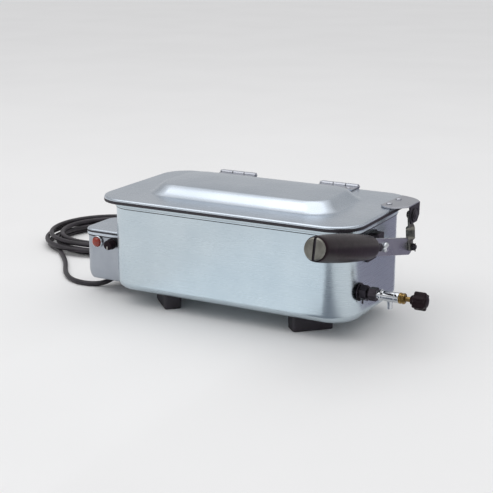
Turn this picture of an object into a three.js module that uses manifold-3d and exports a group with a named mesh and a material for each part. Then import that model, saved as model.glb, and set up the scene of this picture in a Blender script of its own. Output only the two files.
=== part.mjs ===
// An electrically heated, double-walled stainless-steel wax bath. A lever on its right end lifts the
// hinged lid; a needle-valve drain cock sits under the lever, and a control box with the mains lead
// is on its left end. Millimetres, +Z up, +X towards the drain cock, -Y towards the user.
import * as THREE from "three";
import { mergeVertices } from "three/addons/utils/BufferGeometryUtils.js";
import Module from "manifold-3d";

const wasm = await Module();
wasm.setup();

// Driving dimensions. Heights are above the underside of the casing.
const GAP = 0.3;
const CASING = { length: 320, width: 160, corner: 34, edge: 11, wall: 1.2, top: 110 };
const TANK = { inset: 7, wall: 1, floor: 17, edge: 10, rimTop: 112, rimBottom: 102.5, rimOut: 1.6 };
const FOOT = { height: 20, long: 50, wide: 22, x: 96, y: 43 };
const LID = { overX: 8, overY: 15, corner: 36, top: 116.7, skirt: 6, sheet: 1, bend: 2 };
const DOME = { x0: -127, x1: 122, y0: -57, y1: 63, corner: 30, slope: 18, height: 12 };
const HINGE = { y: 98.5, z: 118.2, knuckle: 3.2, pin: 1.5, long: 50, leaf: 1.8, places: [-76, 66] };
const BOX = { x0: -217, x1: -160.6, y0: -50, y1: 18, bottom: -1, top: 62.5, corner: 15, edge: 11, wall: 1.2 };
const LIP = 7.5;
const PIVOT = { y: -26, z: 83 };
const LINK_FOOT = { y: 50, z: 65.8 };
const LINK_HEAD = { y: 44, z: 105.5 };
const LINK_PIN = 2.6;
const BAR = { inner: 173.7, thick: 4, wide: 20 };
const GRIP = { from: 41, to: 180, endRadius: 13, midRadius: 15.2, bore: 4.5 };
const COCK = { y: -52.6, z: 35.8 };
const RACK = { x: 142, y: 60, z: 25.3, corner: 22, sheet: 1.2, rim: 8, slots: [8, 4] };
const CORD = { diameter: 6.5, sides: 8 };
const COIL = { x: -323, y: 160, outer: 100, inner: 58, height: 20.8 };
const PLUG = { x: -160, y: 150, radius: 15, boot: 16 };
const GLAND_TURN = 0.62;

const PLUG_Z = -FOOT.height + PLUG.radius + 0.1;
const STUD = { at: 16.5, radius: 4.5 };
const EAR = {
  out: 184.4, z: LID.top + GAP, sheet: 2, y0: 35, y1: 60, bottom: 96, play: 0.4, runY: 7, runZ: 3.1,
  rivets: [[159, 30], [160, 56]],
};
const BAR_OUT = BAR.inner + BAR.thick;
const BAR_MID = BAR.inner + BAR.thick / 2;
const FLOOR = -FOOT.height;
const ARC = 5;

// Shape helpers.

// One level of a rounded rectangle, with a radius for each corner, anticlockwise from above.
function ring({ x0, x1, y0, y1, r, z }) {
  const radii = Array.isArray(r) ? r : [r, r, r, r];
  const corners = [[x1, y1, -1, -1], [x0, y1, 1, -1], [x0, y0, 1, 1], [x1, y0, -1, 1]];
  return corners.flatMap(([x, y, inX, inY], quarter) =>
    Array.from({ length: ARC + 1 }, (_, step) => {
      const angle = (quarter + step / ARC) * (Math.PI / 2);
      const radius = Math.max(radii[quarter], 0.2);
      return [x + inX * radius + radius * Math.cos(angle), y + inY * radius + radius * Math.sin(angle), z];
    })
  );
}

// A closed body through a stack of levels: flat at both ends, or joined end to end into a hoop.
function loft(levels, hoop = false) {
  const rings = levels.map(ring);
  const count = rings[0].length;
  const points = rings.flat();
  const faces = [];
  const last = hoop ? rings.length : rings.length - 1;
  for (let level = 0; level < last; level += 1) {
    const upper = (level + 1) % rings.length;
    for (let side = 0; side < count; side += 1) {
      const next = (side + 1) % count;
      const [a, b] = [level * count + side, level * count + next];
      const [c, d] = [upper * count + next, upper * count + side];
      faces.push(a, b, c, a, c, d);
    }
  }
  if (!hoop) {
    const top = (rings.length - 1) * count;
    for (let side = 1; side < count - 1; side += 1) {
      faces.push(0, side + 1, side, top, top + side, top + side + 1);
    }
  }
  const geometry = new THREE.BufferGeometry();
  geometry.setAttribute("position", new THREE.Float32BufferAttribute(points.flat(), 3));
  geometry.setIndex(faces);
  return geometry;
}

// The levels of one side of a pressed pan, from its floor round the bottom edge to its top.
function panLevels({ x0, x1, y0, y1, r, bottom, edge, top, sides = [1, 1, 1, 1] }, steps = 4) {
  const radii = Array.isArray(r) ? r : [r, r, r, r];
  const levels = Array.from({ length: steps + 1 }, (_, step) => {
    const angle = (step / steps) * (Math.PI / 2);
    const inset = edge * (1 - Math.sin(angle));
    return {
      x0: x0 + inset * sides[0],
      x1: x1 - inset * sides[1],
      y0: y0 + inset * sides[2],
      y1: y1 - inset * sides[3],
      r: radii.map((radius) => radius - inset * (radius > edge ? 1 : 0)),
      z: bottom + edge * (1 - Math.cos(angle)),
    };
  });
  return [...levels, { ...levels.at(-1), z: top }];
}

// An open pan of even wall thickness.
function pan(shape, wall) {
  const radii = Array.isArray(shape.r) ? shape.r : [shape.r, shape.r, shape.r, shape.r];
  const inside = {
    ...shape,
    x0: shape.x0 + wall,
    x1: shape.x1 - wall,
    y0: shape.y0 + wall,
    y1: shape.y1 - wall,
    r: radii.map((radius) => Math.max(radius - wall, 0.3)),
    bottom: shape.bottom + wall,
    edge: shape.edge - wall,
  };
  return loft([...panLevels(shape), ...panLevels(inside).reverse()]);
}

function block(x0, x1, y0, y1, z0, z1) {
  return new THREE.BoxGeometry(x1 - x0, y1 - y0, z1 - z0).translate((x0 + x1) / 2, (y0 + y1) / 2, (z0 + z1) / 2);
}

// A profile of [radius, distance along the axis] pairs turned about a line along X, Y or Z.
function turned(axis, profile, place, sides = 16) {
  const lathe = new THREE.LatheGeometry(profile.map(([radius, along]) => new THREE.Vector2(radius, along)), sides);
  if (axis === "x") lathe.rotateZ(-Math.PI / 2);
  if (axis === "z") lathe.rotateX(Math.PI / 2);
  return lathe.translate(...place);
}

function rod(axis, radius, from, to, place, sides = 12) {
  return turned(axis, [[0, from], [radius, from], [radius, to], [0, to]], place, sides);
}

// A tube, whose bore is open at both ends.
function sleeve(axis, radius, bore, from, to, place, sides = 16) {
  const profile = [[bore, from], [radius, from], [radius, to], [bore, to], [bore, from]];
  return turned(axis, profile, place, sides);
}

// A flat outline in Y and Z, given a thickness along X.
function plateX(outline, x0, x1) {
  const shape = outline instanceof THREE.Shape ? outline : new THREE.Shape(outline.map(([y, z]) => new THREE.Vector2(y, z)));
  const geometry = new THREE.ExtrudeGeometry(shape, { depth: x1 - x0, bevelEnabled: false, curveSegments: 6 });
  geometry.applyMatrix4(new THREE.Matrix4().set(0, 0, 1, x0, 1, 0, 0, 0, 0, 1, 0, 0, 0, 0, 0, 1));
  return geometry;
}

function plateZ(shape, z0, z1) {
  return new THREE.ExtrudeGeometry(shape, { depth: z1 - z0, bevelEnabled: false, curveSegments: 6 }).translate(0, 0, z0);
}

function alongPath(curve, radius, sides, steps) {
  const section = new THREE.Shape();
  section.absarc(0, 0, radius, 0, Math.PI * 2, false);
  const geometry = new THREE.ExtrudeGeometry(new THREE.Shape(section.getPoints(sides / 4 * 2).slice(0, -1)), {
    steps,
    extrudePath: curve,
    bevelEnabled: false,
  });
  return geometry;
}

// The closed body as positions and triangles only, with its faces pointing out.
function bare(geometry) {
  const plain = geometry.clone();
  for (const name of Object.keys(plain.attributes)) {
    if (name !== "position") plain.deleteAttribute(name);
  }
  const merged = mergeVertices(plain, 1e-4);
  const index = Array.from(merged.index.array);
  const at = merged.attributes.position;
  const kept = [];
  let volume = 0;
  for (let i = 0; i < index.length; i += 3) {
    const [a, b, c] = index.slice(i, i + 3);
    if (a === b || b === c || a === c) continue;
    kept.push(a, b, c);
    const [p, q, s] = [a, b, c].map((v) => new THREE.Vector3().fromBufferAttribute(at, v));
    volume += p.dot(q.cross(s));
  }
  merged.setIndex(volume < 0 ? kept.reverse() : kept);
  return merged;
}

function solid(geometry) {
  const { attributes, index } = bare(geometry);
  return new wasm.Manifold(
    new wasm.Mesh({
      numProp: 3,
      vertProperties: new Float32Array(attributes.position.array),
      triVerts: new Uint32Array(index.array),
    })
  );
}

function geometryOf(manifold) {
  const mesh = manifold.getMesh();
  const geometry = new THREE.BufferGeometry();
  geometry.setAttribute("position", new THREE.BufferAttribute(mesh.vertProperties, 3));
  geometry.setIndex(new THREE.BufferAttribute(mesh.triVerts, 1));
  return geometry;
}

const cut = (geometry, ...tools) => geometryOf(tools.reduce((body, tool) => body.subtract(solid(tool)), solid(geometry)));
const join = (geometry, ...more) => geometryOf(more.reduce((body, piece) => body.add(solid(piece)), solid(geometry)));

// Finishes: colour, roughness, metalness.
const FINISH = {
  satin: [0xb9c3ca, 0.35, 1],
  polished: [0xa9b2bb, 0.22, 1],
  steel: [0x8c8d92, 0.4, 1],
  darkSteel: [0x3a363b, 0.45, 0.8],
  chrome: [0xd5d8dc, 0.12, 1],
  brass: [0xa8946b, 0.3, 1],
  bakelite: [0x241a1c, 0.4, 0],
  rubber: [0x1e1b20, 0.8, 0],
  lens: [0x8e2a16, 0.25, 0],
  wool: [0xd8cf9a, 0.95, 0],
  ceramic: [0xe6e1d6, 0.6, 0],
};

const bath = new THREE.Group();
function add(name, finish, geometry) {
  const [color, roughness, metalness] = FINISH[finish];
  const mesh = new THREE.Mesh(bare(geometry), new THREE.MeshStandardMaterial({ color, roughness, metalness }));
  mesh.geometry.computeVertexNormals();
  mesh.name = name;
  bath.add(mesh);
  return mesh;
}

// Casing, tank and what lies between them.

const halfL = CASING.length / 2;
const halfW = CASING.width / 2;
const footPlaces = [[-1, -1, "front_left"], [1, -1, "front_right"], [-1, 1, "rear_left"], [1, 1, "rear_right"]];
const screwHole = (radius, from, to, [sx, sy]) => rod("z", radius, from, to, [sx * FOOT.x, sy * FOOT.y, 0], 12);
const WIRE = { y: -16, z: 8.5, radius: 7 };
const DRAIN_BORE = 5.2;

add("outer_casing", "satin", cut(
  pan({ x0: -halfL, x1: halfL, y0: -halfW, y1: halfW, r: CASING.corner, bottom: 0, edge: CASING.edge, top: CASING.top }, CASING.wall),
  ...footPlaces.map((place) => screwHole(2.4, -2, 4, place)),
  rod("x", DRAIN_BORE + GAP, halfL - 6, halfL + 3, [0, COCK.y, COCK.z]),
  rod("x", WIRE.radius, -halfL - 3, -halfL + 14, [0, WIRE.y, WIRE.z + 8]),
));

const tankX = halfL - TANK.inset;
const tankY = halfW - TANK.inset;
const tankShape = { x0: -tankX, x1: tankX, y0: -tankY, y1: tankY, r: CASING.corner - TANK.inset, edge: TANK.edge };
const rimLevel = (out, z) => ({ x0: -halfL - out, x1: halfL + out, y0: -halfW - out, y1: halfW + out, r: CASING.corner + out, z });
const inner = TANK.wall;
add("inner_tank", "satin", cut(
  loft([
    ...panLevels({ ...tankShape, bottom: TANK.floor - inner, top: TANK.rimTop - inner }),
    rimLevel(0.5, TANK.rimTop - inner),
    rimLevel(0.5, TANK.rimBottom),
    rimLevel(TANK.rimOut, TANK.rimBottom),
    rimLevel(TANK.rimOut, TANK.rimTop - 1),
    rimLevel(TANK.rimOut - 1, TANK.rimTop),
    ...panLevels({
      x0: -tankX + inner, x1: tankX - inner, y0: -tankY + inner, y1: tankY - inner,
      r: tankShape.r - inner, edge: TANK.edge - inner, bottom: TANK.floor, top: TANK.rimTop,
    }).reverse(),
  ]),
  rod("x", DRAIN_BORE + GAP, tankX - 6, tankX + 3, [0, COCK.y, COCK.z]),
));

const woolGap = 0.5;
const woolLevel = (inset, z) => ({
  x0: -halfL + inset, x1: halfL - inset, y0: -halfW + inset, y1: halfW - inset, r: CASING.corner - inset, z,
});
const woolOut = CASING.wall + woolGap;
const woolIn = TANK.inset - woolGap;
add("insulation_wrap", "wool", cut(
  loft([woolLevel(woolOut, 30), woolLevel(woolOut, 100), woolLevel(woolIn, 100), woolLevel(woolIn, 30)], true),
  rod("x", 10, tankX - 9, halfL + 3, [0, COCK.y, COCK.z]),
));
add("base_insulation", "wool", cut(
  loft([
    { x0: -138, x1: 138, y0: -62, y1: 62, r: 20, z: CASING.wall + GAP },
    { x0: -138, x1: 138, y0: -62, y1: 62, r: 20, z: CASING.wall + 4 },
  ]),
  ...footPlaces.map((place) => screwHole(7, -2, 12, place)),
));

// A sheathed element bent to a hairpin under the tank, with its ends in the control box.
const ELEMENT = { radius: 3.1, z: 11.6, near: -36, far: 36, turn: 100, bend: 30 };
const wireZ = WIRE.z + 8;
const hairpin = new THREE.CatmullRomCurve3(
  [
    [-128, ELEMENT.near], [-60, ELEMENT.near], [20, ELEMENT.near], [ELEMENT.turn - 15, ELEMENT.near],
    [ELEMENT.turn + 8, ELEMENT.near + 14], [ELEMENT.turn + 14, 0], [ELEMENT.turn + 8, ELEMENT.far - 14],
    [ELEMENT.turn - 15, ELEMENT.far], [20, ELEMENT.far], [-60, ELEMENT.far], [-128, ELEMENT.far],
  ].map(([x, y]) => new THREE.Vector3(x, y, ELEMENT.z)),
  false,
  "centripetal",
);
add("heating_element", "darkSteel", alongPath(hairpin, ELEMENT.radius, 8, 40));
for (const [x, name] of [[-90, "left"], [60, "right"]]) {
  add(`heater_clamp_${name}`, "steel", block(x - 7, x + 7, -50, 50, ELEMENT.z - 5.4, ELEMENT.z - 3.6));
}

// Moulded rubber feet set diagonally at the corners, each held by a screw and nut from below.
for (const place of footPlaces) {
  const [sx, sy, name] = place;
  const half = (grow, z) => ({
    x0: -FOOT.long / 2 + grow, x1: FOOT.long / 2 - grow, y0: -FOOT.wide / 2 + grow, y1: FOOT.wide / 2 - grow, r: 2.5, z,
  });
  const foot = loft([half(2.2, FLOOR), half(1.6, FLOOR + 1), half(0, -GAP)]);
  foot.rotateZ((-sx * sy * Math.PI) / 4).translate(sx * FOOT.x, sy * FOOT.y, 0);
  add(`foot_${name}`, "rubber", cut(foot, screwHole(2.6, FLOOR - 1, 1, place), screwHole(5.2, FLOOR - 1, FLOOR + 9, place)));
  add(`foot_screw_${name}`, "steel", turned(
    "z",
    [[0, FLOOR + 5.6], [4.4, FLOOR + 5.6], [4.4, FLOOR + 8.6], [2.1, FLOOR + 8.6], [2.1, 1.5], [4, 1.5], [4, 4.7], [0, 4.7]],
    [sx * FOOT.x, sy * FOOT.y, 0],
    10,
  ));
}

// Loose perforated rack that keeps hands and instruments off the heated floor.
const rackLevel = (inset, z) => ({
  x0: -RACK.x + inset, x1: RACK.x - inset, y0: -RACK.y + inset, y1: RACK.y - inset, r: RACK.corner - inset, z,
});
const [across, down] = RACK.slots;
const slots = [];
for (let i = 0; i < across; i += 1) {
  for (let j = 0; j < down; j += 1) {
    const x = (i - (across - 1) / 2) * 31;
    const y = (j - (down - 1) / 2) * 25;
    slots.push(block(x - 9, x + 9, y - 3, y + 3, RACK.z - 2, RACK.z + 3));
  }
}
add("perforated_rack", "satin", cut(
  loft([
    rackLevel(RACK.sheet, RACK.z), rackLevel(RACK.sheet, RACK.z - RACK.rim),
    rackLevel(0, RACK.z - RACK.rim), rackLevel(0, RACK.z + RACK.sheet),
  ]),
  ...slots,
));
for (const side of [-1, 1]) {
  const x = side * 118;
  const z = RACK.z + RACK.sheet + GAP;
  const wire = new THREE.CatmullRomCurve3(
    [[-22, 0], [-22, 12], [-19, 22], [-10, 27], [0, 28], [10, 27], [19, 22], [22, 12], [22, 0]]
      .map(([y, up]) => new THREE.Vector3(x, y, z + up)),
  );
  add(`rack_handle_${side < 0 ? "left" : "right"}`, "steel", alongPath(wire, 1.5, 8, 16));
}

// Control box on the left end.

const boxRadii = [1, BOX.corner, BOX.corner, 1];
const underCover = BOX.wall + GAP;
const boxShape = {
  x0: BOX.x0 + underCover, x1: BOX.x1 - underCover, y0: BOX.y0 + underCover, y1: BOX.y1 - underCover, r: boxRadii,
  bottom: BOX.bottom, edge: BOX.edge, top: BOX.top - BOX.wall - GAP, sides: [1, 0, 0.15, 0.15],
};
const LAMP = { x: -195.2, z: 47.2, radius: 7 };
const DIAL = { x: -173.2, z: 47.2, radius: 6.8 };
const GLAND = { x: -184, y: 10, z: -10.5 };
add("control_box", "satin", cut(
  pan(boxShape, BOX.wall),
  rod("y", 5.2, BOX.y0 - 3, BOX.y0 + 5, [LAMP.x, 0, LAMP.z]),
  rod("y", 3.2, BOX.y0 - 3, BOX.y0 + 5, [DIAL.x, 0, DIAL.z]),
  rod("x", WIRE.radius, BOX.x1 - 4, BOX.x1 + 3, [0, WIRE.y, wireZ]),
  rod("z", 3.6, BOX.bottom - 3, BOX.bottom + 4, [GLAND.x, GLAND.y, 0]),
));
const coverLevel = (inset, z) => ({
  x0: BOX.x0 + inset, x1: BOX.x1 - inset, y0: BOX.y0 + inset, y1: BOX.y1 - inset,
  r: [1, BOX.corner - inset, BOX.corner - inset, 1], z,
});
add("control_box_cover", "polished", loft([
  coverLevel(BOX.wall, BOX.top - BOX.wall), coverLevel(BOX.wall, BOX.top - LIP), coverLevel(0, BOX.top - LIP),
  coverLevel(0, BOX.top - 2), coverLevel(0.6, BOX.top - 0.6), coverLevel(2, BOX.top),
]));

add("pilot_lamp_bezel", "chrome", sleeve("y", LAMP.radius + 0.7, 5, BOX.y0 - 2.2, BOX.y0 + 1.2, [LAMP.x, 0, LAMP.z]));
add("pilot_lamp_lens", "lens", turned(
  "y",
  [[0, BOX.y0 - 5.4], [2.6, BOX.y0 - 5], [4.4, BOX.y0 - 3.6], [4.7, BOX.y0 - 2], [4.7, BOX.y0 + 22], [0, BOX.y0 + 22]],
  [LAMP.x, 0, LAMP.z],
));
add("thermostat_knob", "bakelite", turned(
  "y",
  [
    [0, BOX.y0 - 11], [5.6, BOX.y0 - 11], [6.4, BOX.y0 - 10], [DIAL.radius, BOX.y0 - 1.2], [2.2, BOX.y0 - 1.2],
    [2.2, BOX.y0 + 5.2], [0, BOX.y0 + 5.2],
  ],
  [DIAL.x, 0, DIAL.z],
));
add("thermostat_body", "ceramic", block(DIAL.x - 11, DIAL.x + 8, BOX.y0 + 5.6, BOX.y0 + 30, DIAL.z - 12, DIAL.z + 9));
add("terminal_block", "ceramic", block(-206, -172, -8, 6, 14, 26));
const boot = turned("y", [[0, -24], [4.1, -24], [5.6, -4], [5.6, 6], [0, 6]], [0, 0, 0], 12);
boot.rotateZ(-GLAND_TURN).translate(GLAND.x, GLAND.y, GLAND.z);
add("cable_gland", "rubber", join(
  block(GLAND.x - 8, GLAND.x + 8, GLAND.y - 6, GLAND.y + 7, GLAND.z - 6, BOX.bottom - GAP),
  boot,
  rod("z", 3.2, GLAND.z, BOX.bottom + 7, [GLAND.x, GLAND.y, 0]),
));

// Lid: a pressed sheet with a turned-down edge and a raised, crowned panel.

const lidX = halfL + LID.overX;
const lidY = halfW + LID.overY;
const lidLevel = (inset, z) => ({ x0: -lidX + inset, x1: lidX - inset, y0: -lidY + inset, y1: lidY - inset, r: LID.corner - inset, z });
const domeLevel = (share, drop) => {
  const inset = DOME.slope * share;
  return {
    x0: DOME.x0 + inset, x1: DOME.x1 - inset, y0: DOME.y0 + inset, y1: DOME.y1 - inset, r: DOME.corner - inset * 0.4,
    z: LID.top + DOME.height * (0.5 - 0.5 * Math.cos(Math.PI * share)) - drop,
  };
};
const domeShares = [0, 0.2, 0.4, 0.6, 0.8, 1];
const crown = (inset, rise, drop) => ({
  x0: DOME.x0 + DOME.slope + inset, x1: DOME.x1 - DOME.slope - inset,
  y0: DOME.y0 + DOME.slope + inset * 0.7, y1: DOME.y1 - DOME.slope - inset * 0.7,
  r: DOME.corner - DOME.slope * 0.4, z: LID.top + DOME.height + rise - drop,
});
add("lid_panel", "polished", cut(
  loft([
    crown(20, 1.2, LID.sheet),
    ...domeShares.map((share) => domeLevel(share, LID.sheet)).reverse(),
    lidLevel(LID.bend, LID.top - LID.sheet),
    lidLevel(LID.sheet, LID.top - LID.bend),
    lidLevel(LID.sheet, LID.top - LID.skirt),
    lidLevel(0, LID.top - LID.skirt),
    lidLevel(0, LID.top - LID.bend),
    lidLevel(0.6, LID.top - 0.6),
    lidLevel(LID.bend, LID.top),
    ...domeShares.map((share) => domeLevel(share, 0)),
    crown(20, 1.2, 0),
  ]),
  ...EAR.rivets.map(([x, y]) => rod("z", 2.3, LID.top - 4, LID.top + 4, [x, y, 0], 10)),
));

// Butt hinges along the back: the lower leaf is bent round the rim and fixed to the casing.

for (const [index, x] of HINGE.places.entries()) {
  const side = index === 0 ? "left" : "right";
  const [x0, x1] = [x - HINGE.long / 2, x + HINGE.long / 2];
  const third = HINGE.long / 3;
  const at = [0, HINGE.y, HINGE.z];
  const bore = HINGE.pin + 0.1;
  const back = halfW + GAP;
  const outside = HINGE.y + 0.6;
  const strap = plateX(
    [
      [back, 76], [back + HINGE.leaf, 76], [back + HINGE.leaf, 97], [outside + 1.8, 97], [outside + 1.8, HINGE.z],
      [outside, HINGE.z], [outside, 98.8], [back, 98.8],
    ],
    x0, x1,
  );
  const middle = rod("x", HINGE.knuckle + 0.4, x0 + third - GAP, x1 - third + GAP, at, 16);
  add(`hinge_bracket_${side}`, "steel", cut(
    join(strap, rod("x", HINGE.knuckle, x0, x1, at, 16)),
    middle,
    rod("x", bore, x0 - 2, x1 + 2, at, 12),
  ));
  const leafTop = LID.top + GAP + HINGE.leaf;
  add(`hinge_leaf_${side}`, "steel", cut(
    join(
      block(x0, x1, HINGE.y - 20.5, HINGE.y - 4, LID.top + GAP, leafTop),
      block(x0 + third + GAP, x1 - third - GAP, HINGE.y - 4.5, HINGE.y, LID.top + GAP, leafTop),
      rod("x", HINGE.knuckle, x0 + third + GAP, x1 - third - GAP, at, 16),
    ),
    rod("x", bore, x0 - 2, x1 + 2, at, 12),
  ));
  add(`hinge_pin_${side}`, "steel", turned(
    "x",
    [[0, x0 - 2.2], [2.6, x0 - 2.2], [2.6, x0 - GAP], [HINGE.pin, x0 - GAP], [HINGE.pin, x1 + 1], [0, x1 + 1]],
    at, 12,
  ));
}

// The ear riveted to the lid, with a slotted tab for the link's pin.

const earShape = new THREE.Shape();
earShape.moveTo(152, 22);
earShape.quadraticCurveTo(158, 12, 167, 14);
earShape.quadraticCurveTo(178, 18, EAR.out, 30);
earShape.lineTo(EAR.out, 60);
earShape.quadraticCurveTo(176, 74, 156, 78);
earShape.closePath();
const tab = plateX([[EAR.y0, EAR.bottom], [EAR.y1, EAR.bottom], [EAR.y1 + 2, EAR.z + 1], [EAR.y0 - 4, EAR.z + 1]], EAR.out - EAR.sheet, EAR.out);
const pinRoom = LINK_PIN + EAR.play;
const slot = block(
  EAR.out - 8, EAR.out + 2, LINK_HEAD.y - pinRoom, LINK_HEAD.y + pinRoom + EAR.runY,
  LINK_HEAD.z - pinRoom, LINK_HEAD.z + pinRoom + EAR.runZ,
);
add("lid_ear", "steel", cut(
  join(plateZ(earShape, EAR.z, EAR.z + EAR.sheet), tab),
  slot,
  ...EAR.rivets.map(([x, y]) => rod("z", 2.3, LID.top - 4, LID.top + 6, [x, y, 0], 10)),
));
for (const [index, [x, y]] of EAR.rivets.entries()) {
  const head = EAR.z + EAR.sheet + GAP;
  add(`ear_rivet_${index + 1}`, "steel", turned(
    "z",
    [
      [0, LID.top - 3.4], [3.4, LID.top - 3.4], [3.4, LID.top - LID.sheet - GAP], [1.9, LID.top - LID.sheet - GAP],
      [1.9, head], [3.9, head], [3.2, head + 1.4], [0, head + 2],
    ],
    [x, y, 0], 10,
  ));
}

// Lifting lever on its bracket, with the barrel grip, and the link up to the lid.

const pivotAt = [0, PIVOT.y, PIVOT.z];
add("lever_bracket", "darkSteel", cut(
  join(
    block(halfL + GAP, halfL + 3, PIVOT.y - 14, PIVOT.y + 14, 66, 99),
    block(halfL + 2, BAR.inner - GAP, PIVOT.y - 8, PIVOT.y + 8, 73, 99),
  ),
  rod("x", 3.3, halfL + 1, BAR.inner + 1, pivotAt),
));
const slope = (PIVOT.z - LINK_FOOT.z) / (LINK_FOOT.y - PIVOT.y);
const tilt = Math.atan(slope);
const alongLever = (geometry) => geometry.rotateX(-tilt).translate(0, PIVOT.y, PIVOT.z);
const reach = Math.hypot(LINK_FOOT.y - PIVOT.y, PIVOT.z - LINK_FOOT.z);
const half = BAR.wide / 2;
const barShape = new THREE.Shape();
barShape.moveTo(-GRIP.from + 1, -half);
barShape.lineTo(reach, -half);
barShape.absarc(reach, 0, half, -Math.PI / 2, Math.PI / 2, false);
barShape.lineTo(-GRIP.from + 1, half);
barShape.closePath();
add("lever_bar", "steel", alongLever(cut(
  join(
    plateX(barShape, BAR.inner, BAR_OUT),
    rod("y", GRIP.bore - GAP, -GRIP.to + 6, -GRIP.from + 2, [BAR_MID, 0, 0]),
  ),
  rod("x", 3.1, BAR.inner - 4, BAR_OUT + 4, [0, 0, 0]),
  rod("x", 3.1, BAR.inner - 4, BAR_OUT + 4, [0, reach, 0]),
  rod("x", 2.3, BAR.inner - 4, BAR_OUT + 4, [0, -STUD.at, 0]),
  rod("y", 2, -GRIP.to - 4, -GRIP.to + 20, [BAR_MID, 0, 0]),
)));
const gripSteps = 10;
const gripCurve = Array.from({ length: gripSteps + 1 }, (_, step) => {
  const share = step / gripSteps;
  const radius = GRIP.endRadius + (GRIP.midRadius - GRIP.endRadius) * Math.sin(Math.PI * share) ** 0.8;
  return [radius, -GRIP.to + (GRIP.to - GRIP.from - GAP) * share];
});
const gripEnd = gripCurve.at(-1)[1];
add("grip", "bakelite", alongLever(turned(
  "y",
  [[GRIP.bore, -GRIP.to], [GRIP.endRadius - 1, -GRIP.to], ...gripCurve.slice(1, -1), [GRIP.endRadius - 1, gripEnd],
    [GRIP.bore, gripEnd], [GRIP.bore, -GRIP.to]],
  [BAR_MID, 0, 0], 20,
)));
add("grip_end_screw", "steel", alongLever(cut(
  turned(
    "y",
    [[0, -GRIP.to - 3], [10.5, -GRIP.to - 3], [11.6, -GRIP.to - 2], [11.6, -GRIP.to - GAP], [1.7, -GRIP.to - GAP],
      [1.7, -GRIP.to + 16], [0, -GRIP.to + 16]],
    [BAR_MID, 0, 0], 20,
  ),
  block(BAR_MID - 1.1, BAR_MID + 1.1, -GRIP.to - 5, -GRIP.to - 1.8, -14, 14),
)));
add("grip_lock_stud", "darkSteel", alongLever(turned(
  "x",
  [[0, BAR.inner - 2], [1.9, BAR.inner - 2], [1.9, BAR_OUT + GAP], [STUD.radius, BAR_OUT + GAP], [STUD.radius - 1, BAR_OUT + 3], [0, BAR_OUT + 3]],
  [0, -STUD.at, 0], 12,
)));
add("pivot_bolt", "steel", turned(
  "x",
  [[0, halfL + 1.6], [2.9, halfL + 1.6], [2.9, BAR_OUT + GAP], [5.8, BAR_OUT + GAP], [5.4, BAR_OUT + 3.2], [2.6, BAR_OUT + 4.4], [0, BAR_OUT + 4.6]],
  pivotAt, 16,
));
const linkIn = BAR_OUT + GAP;
const linkOut = linkIn + 2.6;
add("link_bolt", "darkSteel", turned(
  "x",
  [
    [0, BAR.inner - 4.6], [4.6, BAR.inner - 4.6], [4.6, BAR.inner - GAP], [2.9, BAR.inner - GAP], [2.9, linkOut + GAP],
    [4.8, linkOut + GAP], [4.8, linkOut + 3.6], [2.4, linkOut + 3.6], [2.4, linkOut + 5.4], [0, linkOut + 5.4],
  ],
  [0, LINK_FOOT.y, LINK_FOOT.z], 12,
));
const lean = Math.atan2(LINK_HEAD.y - LINK_FOOT.y, LINK_HEAD.z - LINK_FOOT.z);
const linkLong = Math.hypot(LINK_HEAD.y - LINK_FOOT.y, LINK_HEAD.z - LINK_FOOT.z);
const linkHalf = 5.5;
const linkShape = new THREE.Shape();
linkShape.absarc(0, 0, linkHalf, Math.PI, 2 * Math.PI, false);
linkShape.lineTo(linkHalf, linkLong);
linkShape.absarc(0, linkLong, linkHalf, 0, Math.PI, false);
linkShape.closePath();
add("lift_link", "darkSteel", cut(
  plateX(linkShape, linkIn, linkOut),
  rod("x", 3.1, linkIn - 4, linkOut + 4, [0, 0, 0]),
  rod("x", 2.9, linkIn - 4, linkOut + 4, [0, 0, linkLong]),
).rotateX(-lean).translate(0, LINK_FOOT.y, LINK_FOOT.z));
add("link_pin", "darkSteel", turned(
  "x",
  [
    [0, linkIn - 1.8], [4.2, linkIn - 1.8], [4.2, linkIn - GAP], [LINK_PIN, linkIn - GAP], [LINK_PIN, EAR.out + GAP],
    [4.6, EAR.out + GAP], [4.6, EAR.out + 2.4], [0, EAR.out + 2.6],
  ],
  [0, LINK_HEAD.y, LINK_HEAD.z], 12,
));

// Drain cock: a needle valve screwed through both walls, with its spindle in line with its inlet.

const cockAt = [0, COCK.y, COCK.z];
const HEXAGON = { radius: 8.4, end: 182 };
const NECK = { radius: 4.4, end: 184 };
const BARREL = { radius: 5.8, start: 184.5, end: 207.4, bore: 3.3 };
const SPOUT = { x: 196.5, radius: 3, bore: 1.6, long: 14 };
const SEAT = { bore: 2.6, x: 190 };
const hexagon = turned(
  "x", [[0, halfL + 1.2], [HEXAGON.radius, halfL + 1.2], [HEXAGON.radius, HEXAGON.end], [0, HEXAGON.end]], cockAt, 6,
);
add("drain_cock_body", "chrome", cut(
  join(
    rod("x", DRAIN_BORE, tankX - 12, halfL + 2, cockAt, 14),
    hexagon,
    turned(
      "x",
      [
        [0, HEXAGON.end - 1], [NECK.radius, HEXAGON.end - 1], [NECK.radius, NECK.end], [BARREL.radius, BARREL.start],
        [BARREL.radius, BARREL.end], [0, BARREL.end],
      ],
      cockAt, 16,
    ),
    rod("z", SPOUT.radius, -SPOUT.long, 0, [SPOUT.x, COCK.y, COCK.z], 10),
  ),
  rod("x", SEAT.bore, tankX - 14, SEAT.x, cockAt, 10),
  rod("x", BARREL.bore, SEAT.x - 1, BARREL.end + 2, cockAt, 12),
  rod("z", SPOUT.bore, -SPOUT.long - 4, 0, [SPOUT.x, COCK.y, COCK.z], 8),
));
add("drain_lock_nut", "brass", cut(
  rod("x", 7.6, tankX - 10.5, tankX - 6.5, cockAt, 6),
  rod("x", DRAIN_BORE + GAP, tankX - 12, tankX - 5, cockAt, 14),
));
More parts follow.
